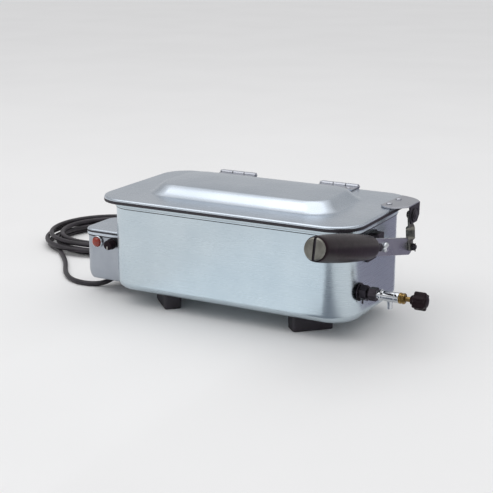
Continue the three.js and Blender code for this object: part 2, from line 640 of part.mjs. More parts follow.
add("drain_gland_nut", "brass", turned(
  "x",
  [[3.1, 207.7], [6, 207.7], [6, 210.6], [5, 211.2], [6, 211.8], [6, 214], [5, 214.8], [3.1, 214.8], [3.1, 207.7]],
  cockAt, 16,
));
const SPINDLE = { radius: 2.8, start: 193, end: 220.6 };
const KNOB = { radius: 9.4, lobes: 6, wave: 1.1, points: 48, start: 224.5, end: 238.5 };
add("drain_spindle", "brass", rod("x", SPINDLE.radius, SPINDLE.start, SPINDLE.end, cockAt, 12));
const lobes = new THREE.Shape(Array.from({ length: KNOB.points }, (_, i) => {
  const angle = (i / KNOB.points) * Math.PI * 2;
  const radius = KNOB.radius + KNOB.wave * Math.cos(angle * KNOB.lobes);
  return new THREE.Vector2(radius * Math.cos(angle), radius * Math.sin(angle));
}));
const hubFrom = SPINDLE.end + GAP;
add("drain_knob", "bakelite", join(
  plateX(lobes, KNOB.start, KNOB.end).translate(0, COCK.y, COCK.z),
  turned("x", [[0, hubFrom], [5, hubFrom], [6.5, KNOB.start + 0.5], [0, KNOB.start + 0.5]], cockAt, 16),
  turned("x", [[0, KNOB.end - 0.5], [8, KNOB.end - 0.5], [6.4, KNOB.end + 1.5], [0, KNOB.end + 1.9]], cockAt, 16),
));

// Mains lead: from the gland across the floor to a loose flat coil, and on to the plug.

const floorZ = FLOOR + CORD.diameter / 2 + 0.05;
const fromGland = (away, z) => [GLAND.x - Math.sin(GLAND_TURN) * away, GLAND.y - Math.cos(GLAND_TURN) * away, z];
const leadRoute = [
  fromGland(24.4, GLAND.z), fromGland(28, GLAND.z - 0.4), [-203.5, -18.5, -13.6], [-209, -23.5, floorZ + 1], [-217, -28, floorZ], [-228, -31, floorZ],
  [-241, -31, floorZ], [-253, -27, floorZ], [-265, -19.5, floorZ], [-277, -8.5, floorZ], [-288, 4, floorZ],
  [-297.5, 17, floorZ], [-307, 30, floorZ], [-318, 43, floorZ], [-331, 57.1, floorZ],
];
const tailRoute = [
  [-223.2, 188.1, floorZ], [-218.5, 182.4, floorZ + 0.2], [-214, 177, floorZ + 0.6], [-203, 165.5, floorZ + 3.4], [-194, 157, -9.5],
  [-186, 151.8, -6.8], [PLUG.x - PLUG.boot - 4, PLUG.y + 0.1, PLUG_Z], [PLUG.x - PLUG.boot - GAP, PLUG.y, PLUG_Z],
];
const curveOf = (route) => new THREE.CatmullRomCurve3(route.map((point) => new THREE.Vector3(...point)), false, "centripetal");
add("mains_cord", "rubber", alongPath(curveOf(leadRoute), CORD.diameter / 2, CORD.sides, 24));
add("cord_tail", "rubber", alongPath(curveOf(tailRoute), CORD.diameter / 2, CORD.sides, 20));
add("cord_coil", "rubber", turned(
  "z",
  [
    [COIL.inner, FLOOR + 0.05], [COIL.outer - 2, FLOOR + 0.05], [COIL.outer, FLOOR + 3], [COIL.outer, FLOOR + COIL.height - 4],
    [COIL.outer - 4, FLOOR + COIL.height], [COIL.inner + 4, FLOOR + COIL.height], [COIL.inner, FLOOR + COIL.height - 4],
    [COIL.inner, FLOOR + 0.05],
  ],
  [COIL.x, COIL.y, 0], 32,
));
add("plug_body", "bakelite", turned(
  "x",
  [[0, -PLUG.boot], [3.9, -PLUG.boot], [6, 0], [11, 4], [PLUG.radius - 2, 9], [PLUG.radius, 14], [PLUG.radius, 30], [PLUG.radius - 1.2, 31.4], [0, 31.4]],
  [PLUG.x, PLUG.y, PLUG_Z], 20,
));
for (const [index, [y, z, radius, long]] of [[0, 6.5, 2.4, 18], [-7, -5, 2, 14], [7, -5, 2, 14]].entries()) {
  add(`plug_pin_${index + 1}`, "brass", rod("x", radius, 31.4 + GAP, 31.4 + long, [PLUG.x, PLUG.y + y, PLUG_Z + z], 10));
}

// The part's origin is under the middle of the bath with its fittings, without the mains lead, on the
// surface that the feet stand on.
const leadPieces = ["mains_cord", "cord_coil", "cord_tail", "plug_body", "plug_pin_1", "plug_pin_2", "plug_pin_3"];
const box = new THREE.Box3();
for (const mesh of bath.children) {
  if (!leadPieces.includes(mesh.name)) box.expandByObject(mesh, true);
}
bath.position.set(-(box.min.x + box.max.x) / 2, -(box.min.y + box.max.y) / 2, -FLOOR);

export default bath;
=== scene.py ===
"""A stainless-steel wax bath with a lever-lifted lid, a drain cock, a control box and its lead."""
import math

import bmesh
import bpy
from mathutils import Matrix, Vector


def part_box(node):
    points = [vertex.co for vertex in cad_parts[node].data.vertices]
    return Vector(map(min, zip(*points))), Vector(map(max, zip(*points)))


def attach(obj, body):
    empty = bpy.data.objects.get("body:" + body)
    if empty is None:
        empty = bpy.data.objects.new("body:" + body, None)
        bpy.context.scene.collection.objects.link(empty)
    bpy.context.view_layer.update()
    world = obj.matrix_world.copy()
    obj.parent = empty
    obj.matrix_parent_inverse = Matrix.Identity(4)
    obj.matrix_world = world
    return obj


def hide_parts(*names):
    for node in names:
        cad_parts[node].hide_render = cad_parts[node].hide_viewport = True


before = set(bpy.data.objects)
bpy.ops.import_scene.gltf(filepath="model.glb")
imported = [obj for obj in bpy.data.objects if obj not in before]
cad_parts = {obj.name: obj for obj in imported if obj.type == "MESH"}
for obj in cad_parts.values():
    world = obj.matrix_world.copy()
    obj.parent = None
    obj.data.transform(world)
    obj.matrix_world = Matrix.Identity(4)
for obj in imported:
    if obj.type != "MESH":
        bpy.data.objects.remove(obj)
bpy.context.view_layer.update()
scene = bpy.context.scene

# Everything below is measured in millimetres from the middle of the casing's underside:
# +X towards the drain cock, +Y towards the hinges, +Z up.
MM = 0.001
casing_low, casing_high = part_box("outer_casing")
home = Vector(((casing_low[0] + casing_high[0]) / 2, (casing_low[1] + casing_high[1]) / 2, casing_low[2]))
HALF_LONG = (casing_high[0] - casing_low[0]) / 2 / MM
HALF_WIDE = (casing_high[1] - casing_low[1]) / 2 / MM
CASING_TOP = (casing_high[2] - casing_low[2]) / MM
FLOOR = -casing_low[2] / MM

# Camera: a short telephoto lens, to the right of the front and a little above, so that the front, the
# right end and the top are all seen.
camera_data = bpy.data.cameras.new("camera")
camera_data.lens = 89.11
camera_data.clip_start = 0.05
camera = bpy.data.objects.new("camera", camera_data)
camera.location = (0.65876, -1.19253, 0.45874)
camera.rotation_euler = (math.radians(90 - 15.207), 0, math.radians(28.708))
scene.collection.objects.link(camera)
scene.camera = camera

# Mains lead: black rubber-sheathed flex, 6.5 mm across, extruded round its cores. It comes out of the
# gland under the control box, crosses the bench in one loose curve and lies in a flat coil, and its
# last stretch runs to the plug behind the bath.
CORD = 6.5
CORD_Z = FLOOR + CORD / 2 + 0.05
GLAND = Vector((-184, 10, -10.5))
GLAND_TURN = 0.62
COIL = Vector((-323, 160))
PLUG = Vector((-160, 150, -4.9))


def colour(code):
    """The linear RGBA of an sRGB hex colour."""
    parts = [int(code[i : i + 2], 16) / 255 for i in (0, 2, 4)]
    return (*(c / 12.92 if c <= 0.04045 else ((c + 0.055) / 1.055) ** 2.4 for c in parts), 1)


def add(finish, kind, sockets=None, **settings):
    """Adds a node to a material: each socket gets a value, or a link from the output it is given."""
    made = finish.node_tree.nodes.new(kind)
    for name, value in settings.items():
        setattr(made, name, value)
    for name, value in (sockets or {}).items():
        if isinstance(value, bpy.types.NodeSocket):
            finish.node_tree.links.new(value, made.inputs[name])
        else:
            made.inputs[name].default_value = value
    return next((output for output in made.outputs if output.enabled), None)


def new_finish(name):
    """An empty material, and the coordinates of its piece in millimetres."""
    finish = bpy.data.materials.new(name)
    finish.use_nodes = True
    finish.node_tree.nodes.clear()
    place = finish.node_tree.nodes.new("ShaderNodeTexCoord").outputs["Object"]
    return finish, add(finish, "ShaderNodeVectorMath", {0: place, 1: (1 / MM,) * 3}, operation="MULTIPLY")


# A noise pattern's values lie mostly between these two. A Mix node's sockets 0, 6 and 7 are its share
# and its two colours.
NOISE_LOW, NOISE_HIGH = 0.35, 0.65
# Extruded rubber sheath: dull black with a faint grey bloom, and a fine orange-peel skin that breaks
# up its long soft highlight.
flex_rubber, at_mm = new_finish("extruded_rubber_sheath")
bloom = add(flex_rubber, "ShaderNodeTexNoise", {"Vector": at_mm, "Scale": 1 / 14, "Detail": 3})
peel = add(flex_rubber, "ShaderNodeTexNoise", {"Vector": at_mm, "Scale": 1 / 0.9, "Detail": 2})
coat = add(flex_rubber, "ShaderNodeBsdfPrincipled", {
    "Base Color": add(flex_rubber, "ShaderNodeMix", {
        0: add(
            flex_rubber, "ShaderNodeMapRange",
            {"Value": bloom, "From Min": NOISE_LOW, "From Max": NOISE_HIGH},
        ),
        6: colour("1b171d"),
        7: colour("2a242c"),
    }, data_type="RGBA"),
    "Roughness": add(flex_rubber, "ShaderNodeMapRange", {
        "Value": peel, "From Min": NOISE_LOW, "From Max": NOISE_HIGH, "To Min": 0.38, "To Max": 0.52,
    }),
    "Normal": add(flex_rubber, "ShaderNodeBump", {"Height": peel, "Distance": 0.04 * MM, "Strength": 0.6}),
})
add(flex_rubber, "ShaderNodeOutputMaterial", {"Surface": coat})

lead = [
    (GLAND.x - math.sin(GLAND_TURN) * out, GLAND.y - math.cos(GLAND_TURN) * out, GLAND.z - drop)
    for out, drop in ((24.3, 0), (26, 0.1), (28, 0.4))
]
lead += [(-203.5, -18.5, -13.6), (-209, -23.5, CORD_Z + 1)]
lead += [(x, y, CORD_Z) for x, y in (
    (-217, -28), (-228, -31), (-241, -31), (-253, -27), (-265, -19.5), (-277, -8.5), (-288, 4),
    (-297.5, 17), (-307, 30), (-318, 43), (-331, 57.1), (-345, 71), (-360, 85),
)]
# The coil's turns, wound clockwise: each one's radius, how far its middle has slipped and which way,
# and the layer it lies in.
TURNS = [
    (86, 3, 3.3, 0), (72, 4, 2.6, 0), (87, 6, 3.3, 1), (75, 8, 5.2, 1), (85, 7, 2.3, 2), (73, 3, 1.2, 2),
]
POINTS_A_TURN = 20
FIRST_ANGLE = math.radians(266)
TURNS_WOUND = 5.55
coil = []
for step in range(2, int(TURNS_WOUND * POINTS_A_TURN) + 1):
    wound = step / POINTS_A_TURN
    angle = FIRST_ANGLE - wound * 2 * math.pi
    turn = min(int(wound), len(TURNS) - 1)
    change = max(0, (wound - turn - 0.7) / 0.3)
    change = change * change * (3 - 2 * change)
    blend = [(turn, 1 - change), (min(turn + 1, len(TURNS) - 1), change)]
    radius = sum(share * (TURNS[i][0] + TURNS[i][1] * math.cos(angle - TURNS[i][2])) for i, share in blend)
    layer = sum(share * TURNS[i][3] for i, share in blend)
    x, y = COIL.x + radius * math.cos(angle), COIL.y + radius * math.sin(angle)
    coil.append((x, y, CORD_Z + layer * (CORD + 0.3)))
tail = [
    (-291, 233, CORD_Z + 11.5), (-276, 230.5, CORD_Z + 8.5), (-261, 223, CORD_Z + 6),
    (-249, 214, CORD_Z + 3),
]
tail += [
    (-238, 203.5, CORD_Z + 1), (-226, 191, CORD_Z), (-214, 177, CORD_Z + 0.6),
    (-203, 165.5, CORD_Z + 3.4), (-194, 157, -9.5), (-186, 151.8, -6.8),
]
tail += [(-180, 150.1, PLUG.z), (-177.5, 150, PLUG.z), (-176.3, 150, PLUG.z)]
route = [home + Vector(point) * MM for point in (*lead, *coil, *tail)]
lead_curve = bpy.data.curves.new("mains_lead", "CURVE")
lead_curve.dimensions = "3D"
lead_curve.bevel_depth = CORD / 2 * MM
lead_curve.bevel_resolution = 5
lead_curve.resolution_u = 3
lead_curve.use_fill_caps = True
line = lead_curve.splines.new("NURBS")
line.points.add(len(route) - 1)
for point, place in zip(line.points, route, strict=True):
    point.co = (*place, 1)
line.order_u = 4
line.use_endpoint_u = True
line.use_smooth = True
lead_curve.materials.append(flex_rubber)
mains_lead = bpy.data.objects.new("mains_lead", lead_curve)
scene.collection.objects.link(mains_lead)
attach(mains_lead, "bath")
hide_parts("mains_cord", "cord_coil", "cord_tail")

# Gland and strain relief: one moulding of soft black rubber, screwed up into the underside of the
# control box. Its tapered boot has ribs, so that it bends evenly with the lead.
moulded_rubber, at_mm = new_finish("moulded_black_rubber")
wear = add(moulded_rubber, "ShaderNodeTexNoise", {"Vector": at_mm, "Scale": 1 / 11, "Detail": 4})
grit = add(moulded_rubber, "ShaderNodeTexNoise", {"Vector": at_mm, "Scale": 1 / 0.7, "Detail": 2})
coat = add(moulded_rubber, "ShaderNodeBsdfPrincipled", {
    "Base Color": add(moulded_rubber, "ShaderNodeMix", {
        0: add(
            moulded_rubber, "ShaderNodeMapRange",
            {"Value": wear, "From Min": NOISE_LOW, "From Max": NOISE_HIGH},
        ),
        6: colour("1f1b22"),
        7: colour("302b33"),
    }, data_type="RGBA"),
    "Roughness": add(moulded_rubber, "ShaderNodeMapRange", {
        "Value": wear, "From Min": NOISE_LOW, "From Max": NOISE_HIGH, "To Min": 0.5, "To Max": 0.68,
    }),
    "Normal": add(
        moulded_rubber, "ShaderNodeBump", {"Height": grit, "Distance": 0.06 * MM, "Strength": 0.6},
    ),
})
add(moulded_rubber, "ShaderNodeOutputMaterial", {"Surface": coat})
ALONG_X = Matrix.Rotation(math.radians(90), 4, "Y")
ALONG_Y = Matrix.Rotation(math.radians(-90), 4, "X")


def turned(bm, profile, at, steps=40):
    """Spins (radius, distance) pairs round the Z axis, then moves the shape to its place."""
    known = set(bm.verts)
    points = [bm.verts.new((radius, 0, along)) for radius, along in profile]
    edges = [bm.edges.new(pair) for pair in zip(points, points[1:])]
    bmesh.ops.spin(
        bm, geom=points + edges, cent=(0, 0, 0), axis=(0, 0, 1), angle=math.radians(360), steps=steps,
        use_merge=True,
    )
    made = [vert for vert in bm.verts if vert not in known]
    bmesh.ops.remove_doubles(bm, verts=made, dist=0.001)
    made = [vert for vert in bm.verts if vert not in known]
    bmesh.ops.transform(bm, matrix=at, verts=made)
    return made


def fit(name, bm, body, finish, stands_for=(), sharp=38):
    """Makes the shape a smooth-shaded piece on a body of the frame, which stands for its CAD nodes."""
    bmesh.ops.recalc_face_normals(bm, faces=bm.faces)
    bmesh.ops.transform(bm, matrix=Matrix.Translation(home) @ Matrix.Scale(MM, 4), verts=bm.verts)
    mesh = bpy.data.meshes.new(name)
    bm.to_mesh(mesh)
    bm.free()
    mesh.polygons.foreach_set("use_smooth", [True] * len(mesh.polygons))
    mesh.set_sharp_from_angle(angle=math.radians(sharp))
    mesh.materials.append(finish)
    made = bpy.data.objects.new(name, mesh)
    scene.collection.objects.link(made)
    flat_normals = made.modifiers.new("flat_normals", "WEIGHTED_NORMAL")
    flat_normals.keep_sharp = True
    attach(made, body)
    if stands_for:
        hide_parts(*stands_for)


BOX_BOTTOM = -1
RIB_PITCH = 3.8
gland = bmesh.new()
boot = Matrix.Translation(GLAND) @ Matrix.Rotation(-GLAND_TURN, 4, "Z") @ ALONG_Y
ribs = [(0, -24), (3.4, -24), (4.0, -23.4)]
for rib in range(5):
    start = -22.6 + rib * RIB_PITCH
    size = 4.1 + rib * 0.3
    ribs += [(size, start), (size, start + 2.2), (size - 0.7, start + 2.6), (size - 0.7, start + 3.4)]
ribs += [(5.6, -3.4), (5.6, 5.5), (5, 6), (0, 6)]
turned(gland, ribs, boot, 24)
turned(
    gland,
    [
        (0, -6), (6.6, -6), (7.8, -4.8), (7.8, 6), (6.8, 7.6), (6.8, BOX_BOTTOM - GLAND.z - 0.4),
        (0, BOX_BOTTOM - GLAND.z - 0.4),
    ],
    Matrix.Translation(GLAND), 32,
)
fit("gland_boot", gland, "bath", moulded_rubber, ["cable_gland"])

# Plug: a black three-pin plug, moulded of phenolic, with a fluted collar for the fingers and a ribbed
# tail over the lead. Its pins are turned brass, dulled by use.
phenolic, at_mm = new_finish("moulded_phenolic")
swirl = add(
    phenolic, "ShaderNodeTexNoise", {"Vector": at_mm, "Scale": 1 / 9, "Detail": 5, "Distortion": 1.2},
)
haze = add(phenolic, "ShaderNodeTexNoise", {"Vector": at_mm, "Scale": 1 / 2.2, "Detail": 3})
coat = add(phenolic, "ShaderNodeBsdfPrincipled", {
    "Base Color": add(phenolic, "ShaderNodeMix", {
        0: add(
            phenolic, "ShaderNodeMapRange",
            {"Value": swirl, "From Min": NOISE_LOW, "From Max": NOISE_HIGH},
        ),
        6: colour("190f14"),
        7: colour("24181e"),
    }, data_type="RGBA"),
    "Roughness": add(phenolic, "ShaderNodeMapRange", {
        "Value": haze, "From Min": NOISE_LOW, "From Max": NOISE_HIGH, "To Min": 0.3, "To Max": 0.37,
    }),
    "Normal": add(phenolic, "ShaderNodeBump", {"Height": haze, "Distance": 0.01 * MM, "Strength": 0.2}),
    "IOR": 1.36,
    "Specular IOR Level": 0.2,
})
add(phenolic, "ShaderNodeOutputMaterial", {"Surface": coat})
turned_brass, at_mm = new_finish("turned_brass")
lathe = add(turned_brass, "ShaderNodeTexNoise", {
    "Vector": add(
        turned_brass, "ShaderNodeVectorMath", {0: at_mm, 1: (2.2, 0.12, 0.12)}, operation="MULTIPLY",
    ),
    "Scale": 1, "Detail": 3,
})
tarnish = add(turned_brass, "ShaderNodeTexNoise", {"Vector": at_mm, "Scale": 1 / 5, "Detail": 4})
coat = add(turned_brass, "ShaderNodeBsdfPrincipled", {
    "Base Color": add(turned_brass, "ShaderNodeMix", {
        0: add(
            turned_brass, "ShaderNodeMapRange",
            {"Value": tarnish, "From Min": NOISE_LOW, "From Max": NOISE_HIGH},
        ),
        6: colour("a88c58"),
        7: colour("75603a"),
    }, data_type="RGBA"),
    "Metallic": 1.0,
    "Roughness": add(turned_brass, "ShaderNodeMapRange", {
        "Value": tarnish, "From Min": NOISE_LOW, "From Max": NOISE_HIGH, "To Min": 0.2, "To Max": 0.38,
    }),
    "Normal": add(turned_brass, "ShaderNodeBump", {"Height": lathe, "Distance": 0.05 * MM, "Strength": 0.5}),
})
add(turned_brass, "ShaderNodeOutputMaterial", {"Surface": coat})
COLLAR = (13.8, 30.2)
plug = bmesh.new()
body = [(0, -16), (3.9, -16)]
for rib in range(4):
    start = -15.4 + rib * RIB_PITCH
    size = 4.2 + rib * 0.5
    body += [(size, start), (size, start + 2.2), (size - 0.6, start + 2.6)]
body += [
    (6.4, 0), (9.5, 1.4), (12.2, 5), (13.4, 9), (13.9, 13.4), (14.9, 14), (14.9, 30), (14.2, 31.1),
    (13.4, 31.4), (0, 31.4),
]
shell = turned(plug, body, Matrix.Translation(PLUG) @ ALONG_X, 72)
for vert in shell:
    away = vert.co - PLUG
    if COLLAR[0] < away.x < COLLAR[1] and Vector(away.yz).length > 14.5:
        notch = 1 - 0.035 * (math.cos(36 * math.atan2(away.z, away.y)) > 0)
        vert.co.yz = PLUG.yz + Vector(away.yz) * notch
fit("plug_shell", plug, "bath", phenolic, ["plug_body"])
for name in ("plug_pin_1", "plug_pin_2", "plug_pin_3"):
    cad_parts[name].material_slots[0].material = turned_brass

# Casing: a deep box pressed from 1.2 mm stainless sheet, with rounded corners and a rounded lower edge,
# brushed lightly lengthwise. It hangs from the tank's rim and stands on four feet.
satin_stainless, at_mm = new_finish("satin_brushed_stainless")
# The real brush lines are finer than 0.1 mm; these are drawn at 0.5 mm so that they show.
brushed = add(satin_stainless, "ShaderNodeTexNoise", {
    "Vector": add(
        satin_stainless, "ShaderNodeVectorMath", {0: at_mm, 1: (0.012, 0.012, 2.0)},
        operation="MULTIPLY",
    ),
    "Scale": 1, "Detail": 4,
})
handled = add(satin_stainless, "ShaderNodeTexNoise", {"Vector": at_mm, "Scale": 1 / 45, "Detail": 4})
coat = add(satin_stainless, "ShaderNodeBsdfPrincipled", {
    "Base Color": add(satin_stainless, "ShaderNodeMix", {
        0: add(
            satin_stainless, "ShaderNodeMapRange",
            {"Value": handled, "From Min": NOISE_LOW, "From Max": NOISE_HIGH},
        ),
        6: colour("c3d0d8"),
        7: colour("cad6dd"),
    }, data_type="RGBA"),
    "Metallic": 1.0,
    "Roughness": add(satin_stainless, "ShaderNodeMapRange", {
        "Value": brushed, "From Min": NOISE_LOW, "From Max": NOISE_HIGH, "To Min": 0.27, "To Max": 0.3,
    }),
    "Normal": add(
        satin_stainless, "ShaderNodeBump", {"Height": brushed, "Distance": 0.002 * MM, "Strength": 0.1},
    ),
})
add(satin_stainless, "ShaderNodeOutputMaterial", {"Surface": coat})


def ring(bm, x0, x1, y0, y1, radii, z, steps=10):
    """A level, rounded rectangle of edges; radii go round from the front left corner."""
    known = set(bm.edges)
    corners = [bm.verts.new(place) for place in ((x0, y0, z), (x1, y0, z), (x1, y1, z), (x0, y1, z))]
    bm.faces.new(corners)
    radii = radii if isinstance(radii, tuple) else (radii,) * 4
    for corner, radius in zip(corners, radii):
        bmesh.ops.bevel(
            bm, geom=[corner], offset=radius, offset_type="OFFSET", segments=steps, profile=0.5,
            affect="VERTICES", material=-1,
        )
    made = [edge for edge in bm.edges if edge not in known]
    bmesh.ops.delete(
        bm, geom=list({face for edge in made for face in edge.link_faces}), context="FACES_ONLY",
    )
    return made


def skin(bm, levels, steps=10, hoop=False):
    """Joins rounded rectangles one after the other, and closes both ends or joins them in a hoop."""
    rings = [ring(bm, *level, steps) for level in levels]
    for low, high in zip(rings, rings[1:]):
        bmesh.ops.bridge_loops(bm, edges=low + high)
    if hoop:
        bmesh.ops.bridge_loops(bm, edges=rings[-1] + rings[0])
    else:
        for end in (rings[0], rings[-1]):
            bmesh.ops.contextual_create(bm, geom=end)


def drawn_wall(half_x, half_y, corner, bottom, edge, top, bends=7):
    """The levels of a pressed wall, round its lower edge and up to its top."""
    levels = []
    for bend in range(bends + 1):
        turn = bend / bends * math.pi / 2
        inset = edge * (1 - math.sin(turn))
        x, y = half_x - inset, half_y - inset
        levels.append((-x, x, -y, y, max(corner - inset, 0.4), bottom + edge * (1 - math.cos(turn))))
    return [*levels, (-half_x, half_x, -half_y, half_y, corner, top)]


CORNER = 34
WALL = 1.2
LOWER_EDGE = 11
casing = bmesh.new()
outside = drawn_wall(HALF_LONG, HALF_WIDE, CORNER, 0, LOWER_EDGE, CASING_TOP)
inside = drawn_wall(HALF_LONG - WALL, HALF_WIDE - WALL, CORNER - WALL, WALL, LOWER_EDGE - WALL, CASING_TOP)
skin(casing, [*outside, *reversed(inside)], 14)
fit("casing_shell", casing, "bath", satin_stainless, ["outer_casing"], 50)

# Tank: a second stainless pressing, deep-drawn and satin inside. Its rolled rim laps over the casing's
# top edge and is spot-welded to it, so that a bright bead shows all round. The thin black ring under
# the bead is painted shade, where the bead's lower edge shades the casing.
RIM_TOP = 112
tank = bmesh.new()
TANK_IN = 7
SHEET = 1
TANK_FLOOR = 17
apart = TANK_IN + SHEET
tank_out = drawn_wall(
    HALF_LONG - TANK_IN, HALF_WIDE - TANK_IN, CORNER - TANK_IN, TANK_FLOOR - SHEET, 10, RIM_TOP - SHEET
)
tank_in = drawn_wall(HALF_LONG - apart, HALF_WIDE - apart, CORNER - apart, TANK_FLOOR, 9, RIM_TOP)
bead = [
    (0.5, RIM_TOP - 1), (0.5, 102.5), (1.3, 102.5), (1.6, 102.9), (1.6, 104.2), (1.1, 104.8),
    (1.1, 109.6),
]
bead += [(1.6, 110.2), (1.6, 111.2), (1.3, 111.8), (0.7, RIM_TOP)]
rolled = []
for out, z in bead:
    rolled.append((-HALF_LONG - out, HALF_LONG + out, -HALF_WIDE - out, HALF_WIDE + out, CORNER + out, z))
skin(tank, [*tank_out, *rolled, *reversed(tank_in)], 14)
fit("tank_and_rim", tank, "bath", satin_stainless, ["inner_tank"], 50)


def band_round(out_low, out_high, low, high):
    """The levels of a thin band round the casing."""
    levels = []
    for out, z in ((out_high, low), (out_high, high), (out_low, high), (out_low, low)):
        levels.append(
            (-HALF_LONG - out, HALF_LONG + out, -HALF_WIDE - out, HALF_WIDE + out, CORNER + out, z)
        )
    return levels


# Painted shade: a thin black ring just under the rim's bead, for the shadow of its lower edge.
rim_shade_ring = bmesh.new()
skin(rim_shade_ring, band_round(0.05, 0.9, 101.5, 102.4), 14, hoop=True)
fit("rim_shade_ring", rim_shade_ring, "bath", moulded_rubber)

# Insulation: yellow glass-wool mat, bonded with resin, packed loosely round the tank and under it. It
# is matt and fibrous, and is only seen when the bath is taken apart.
glass_wool, at_mm = new_finish("bonded_glass_wool")
fibres = add(
    glass_wool, "ShaderNodeTexNoise", {"Vector": at_mm, "Scale": 1 / 1.4, "Detail": 6, "Distortion": 2},
)
coat = add(glass_wool, "ShaderNodeBsdfPrincipled", {
    "Base Color": add(glass_wool, "ShaderNodeMix", {
        0: add(
            glass_wool, "ShaderNodeMapRange",
            {"Value": fibres, "From Min": NOISE_LOW, "From Max": NOISE_HIGH},
        ),
        6: colour("c9b65f"),
        7: colour("efe6ab"),
    }, data_type="RGBA"),
    "Roughness": 0.95,
    "Normal": add(glass_wool, "ShaderNodeBump", {"Height": fibres, "Distance": 0.6 * MM, "Strength": 0.9}),
})
add(glass_wool, "ShaderNodeOutputMaterial", {"Surface": coat})
for name in ("insulation_wrap", "base_insulation"):
    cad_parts[name].material_slots[0].material = glass_wool

# Heater: a sheathed element bent to a hairpin and clamped under the tank by two plated straps; its
# ends and the thermostat are wired at a steatite block in the control box.
heated_sheath, at_mm = new_finish("heat_blued_steel_sheath")
blueing = add(heated_sheath, "ShaderNodeTexNoise", {"Vector": at_mm, "Scale": 1 / 16, "Detail": 5})
coat = add(heated_sheath, "ShaderNodeBsdfPrincipled", {
    "Base Color": add(heated_sheath, "ShaderNodeMix", {
        0: add(
            heated_sheath, "ShaderNodeMapRange",
            {"Value": blueing, "From Min": NOISE_LOW, "From Max": NOISE_HIGH},
        ),
        6: colour("3b3f52"),
        7: colour("5a4a3e"),
    }, data_type="RGBA"),
    "Metallic": 1.0,
    "Roughness": add(heated_sheath, "ShaderNodeMapRange", {
        "Value": blueing, "From Min": NOISE_LOW, "From Max": NOISE_HIGH, "To Min": 0.35, "To Max": 0.6,
    }),
})
add(heated_sheath, "ShaderNodeOutputMaterial", {"Surface": coat})
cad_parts["heating_element"].material_slots[0].material = heated_sheath
steatite, at_mm = new_finish("fired_steatite")
body_grain = add(steatite, "ShaderNodeTexNoise", {"Vector": at_mm, "Scale": 1 / 1.2, "Detail": 3})
coat = add(steatite, "ShaderNodeBsdfPrincipled", {
    "Base Color": add(steatite, "ShaderNodeMix", {
        0: add(
            steatite, "ShaderNodeMapRange",
            {"Value": body_grain, "From Min": NOISE_LOW, "From Max": NOISE_HIGH},
        ),
        6: colour("ddd6c8"),
        7: colour("ece7dc"),
    }, data_type="RGBA"),
    "Roughness": 0.55,
    "Normal": add(steatite, "ShaderNodeBump", {"Height": body_grain, "Distance": 0.1 * MM, "Strength": 0.4}),
})
add(steatite, "ShaderNodeOutputMaterial", {"Surface": coat})
for name in ("thermostat_body", "terminal_block"):
    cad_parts[name].material_slots[0].material = steatite

# Plated fastenings: nickel-plated mild steel, slightly dulled, used for the straps under the tank and
# the screws of the feet.
nickel_plate, at_mm = new_finish("dull_nickel_plated_steel")
dulling = add(nickel_plate, "ShaderNodeTexNoise", {"Vector": at_mm, "Scale": 1 / 18, "Detail": 2})
drawn = add(nickel_plate, "ShaderNodeTexNoise", {
    "Vector": add(
        nickel_plate, "ShaderNodeVectorMath", {0: at_mm, 1: (0.9, 0.06, 0.9)}, operation="MULTIPLY",
    ),
    "Scale": 1, "Detail": 3,
})
coat = add(nickel_plate, "ShaderNodeBsdfPrincipled", {
    "Base Color": add(nickel_plate, "ShaderNodeMix", {
        0: add(
            nickel_plate, "ShaderNodeMapRange",
            {"Value": dulling, "From Min": NOISE_LOW, "From Max": NOISE_HIGH},
        ),
        6: colour("adb0b8"),
        7: colour("b5b7be"),
    }, data_type="RGBA"),
    "Metallic": 1.0,
    "Roughness": add(nickel_plate, "ShaderNodeMapRange", {
        "Value": dulling, "From Min": NOISE_LOW, "From Max": NOISE_HIGH, "To Min": 0.27, "To Max": 0.33,
    }),
    "Normal": add(
        nickel_plate, "ShaderNodeBump", {"Height": drawn, "Distance": 0.001 * MM, "Strength": 0.1},
    ),
})
add(nickel_plate, "ShaderNodeOutputMaterial", {"Surface": coat})
for name in ("heater_clamp_left", "heater_clamp_right"):
    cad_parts[name].material_slots[0].material = nickel_plate

# Feet: four moulded rubber blocks set diagonally under the corners, each held by a plated screw sunk
# in a hole from below.
FOOT_HALF = (25, 11)
FOOT_PLACE = (96, 43)
for side, depth, name in (
    (-1, -1, "front_left"), (1, -1, "front_right"), (-1, 1, "rear_left"), (1, 1, "rear_right"),
):
    foot = bmesh.new()
    stand = []
    for inset, z, corner in (
        (1.6, FLOOR, 2.4), (1, FLOOR + 0.4, 2.8), (0.7, FLOOR + 1.2, 3), (0.5, -9, 3.2), (0.5, -8.2, 3.2),
        (0.4, -7.6, 3.8), (0, -1.6, 4), (0.5, -0.3, 3.6),
    ):
        x, y = FOOT_HALF[0] - inset, FOOT_HALF[1] - inset
        stand.append((-x, x, -y, y, corner, z))
    skin(foot, stand, 5)
    place = Matrix.Translation((side * FOOT_PLACE[0], depth * FOOT_PLACE[1], 0))
    turn = Matrix.Rotation(-side * depth * math.pi / 4, 4, "Z")
    bmesh.ops.transform(foot, matrix=place @ turn, verts=foot.verts)
    fit("rubber_foot_" + name, foot, "bath", moulded_rubber, ["foot_" + name])
    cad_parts["foot_screw_" + name].material_slots[0].material = nickel_plate

# Rack: a loose stainless tray with punched slots and two bent wire handles, welded on. It stands on the
# tank's floor and lifts out.
for name in ("perforated_rack", "rack_handle_left", "rack_handle_right"):
    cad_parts[name].material_slots[0].material = satin_stainless

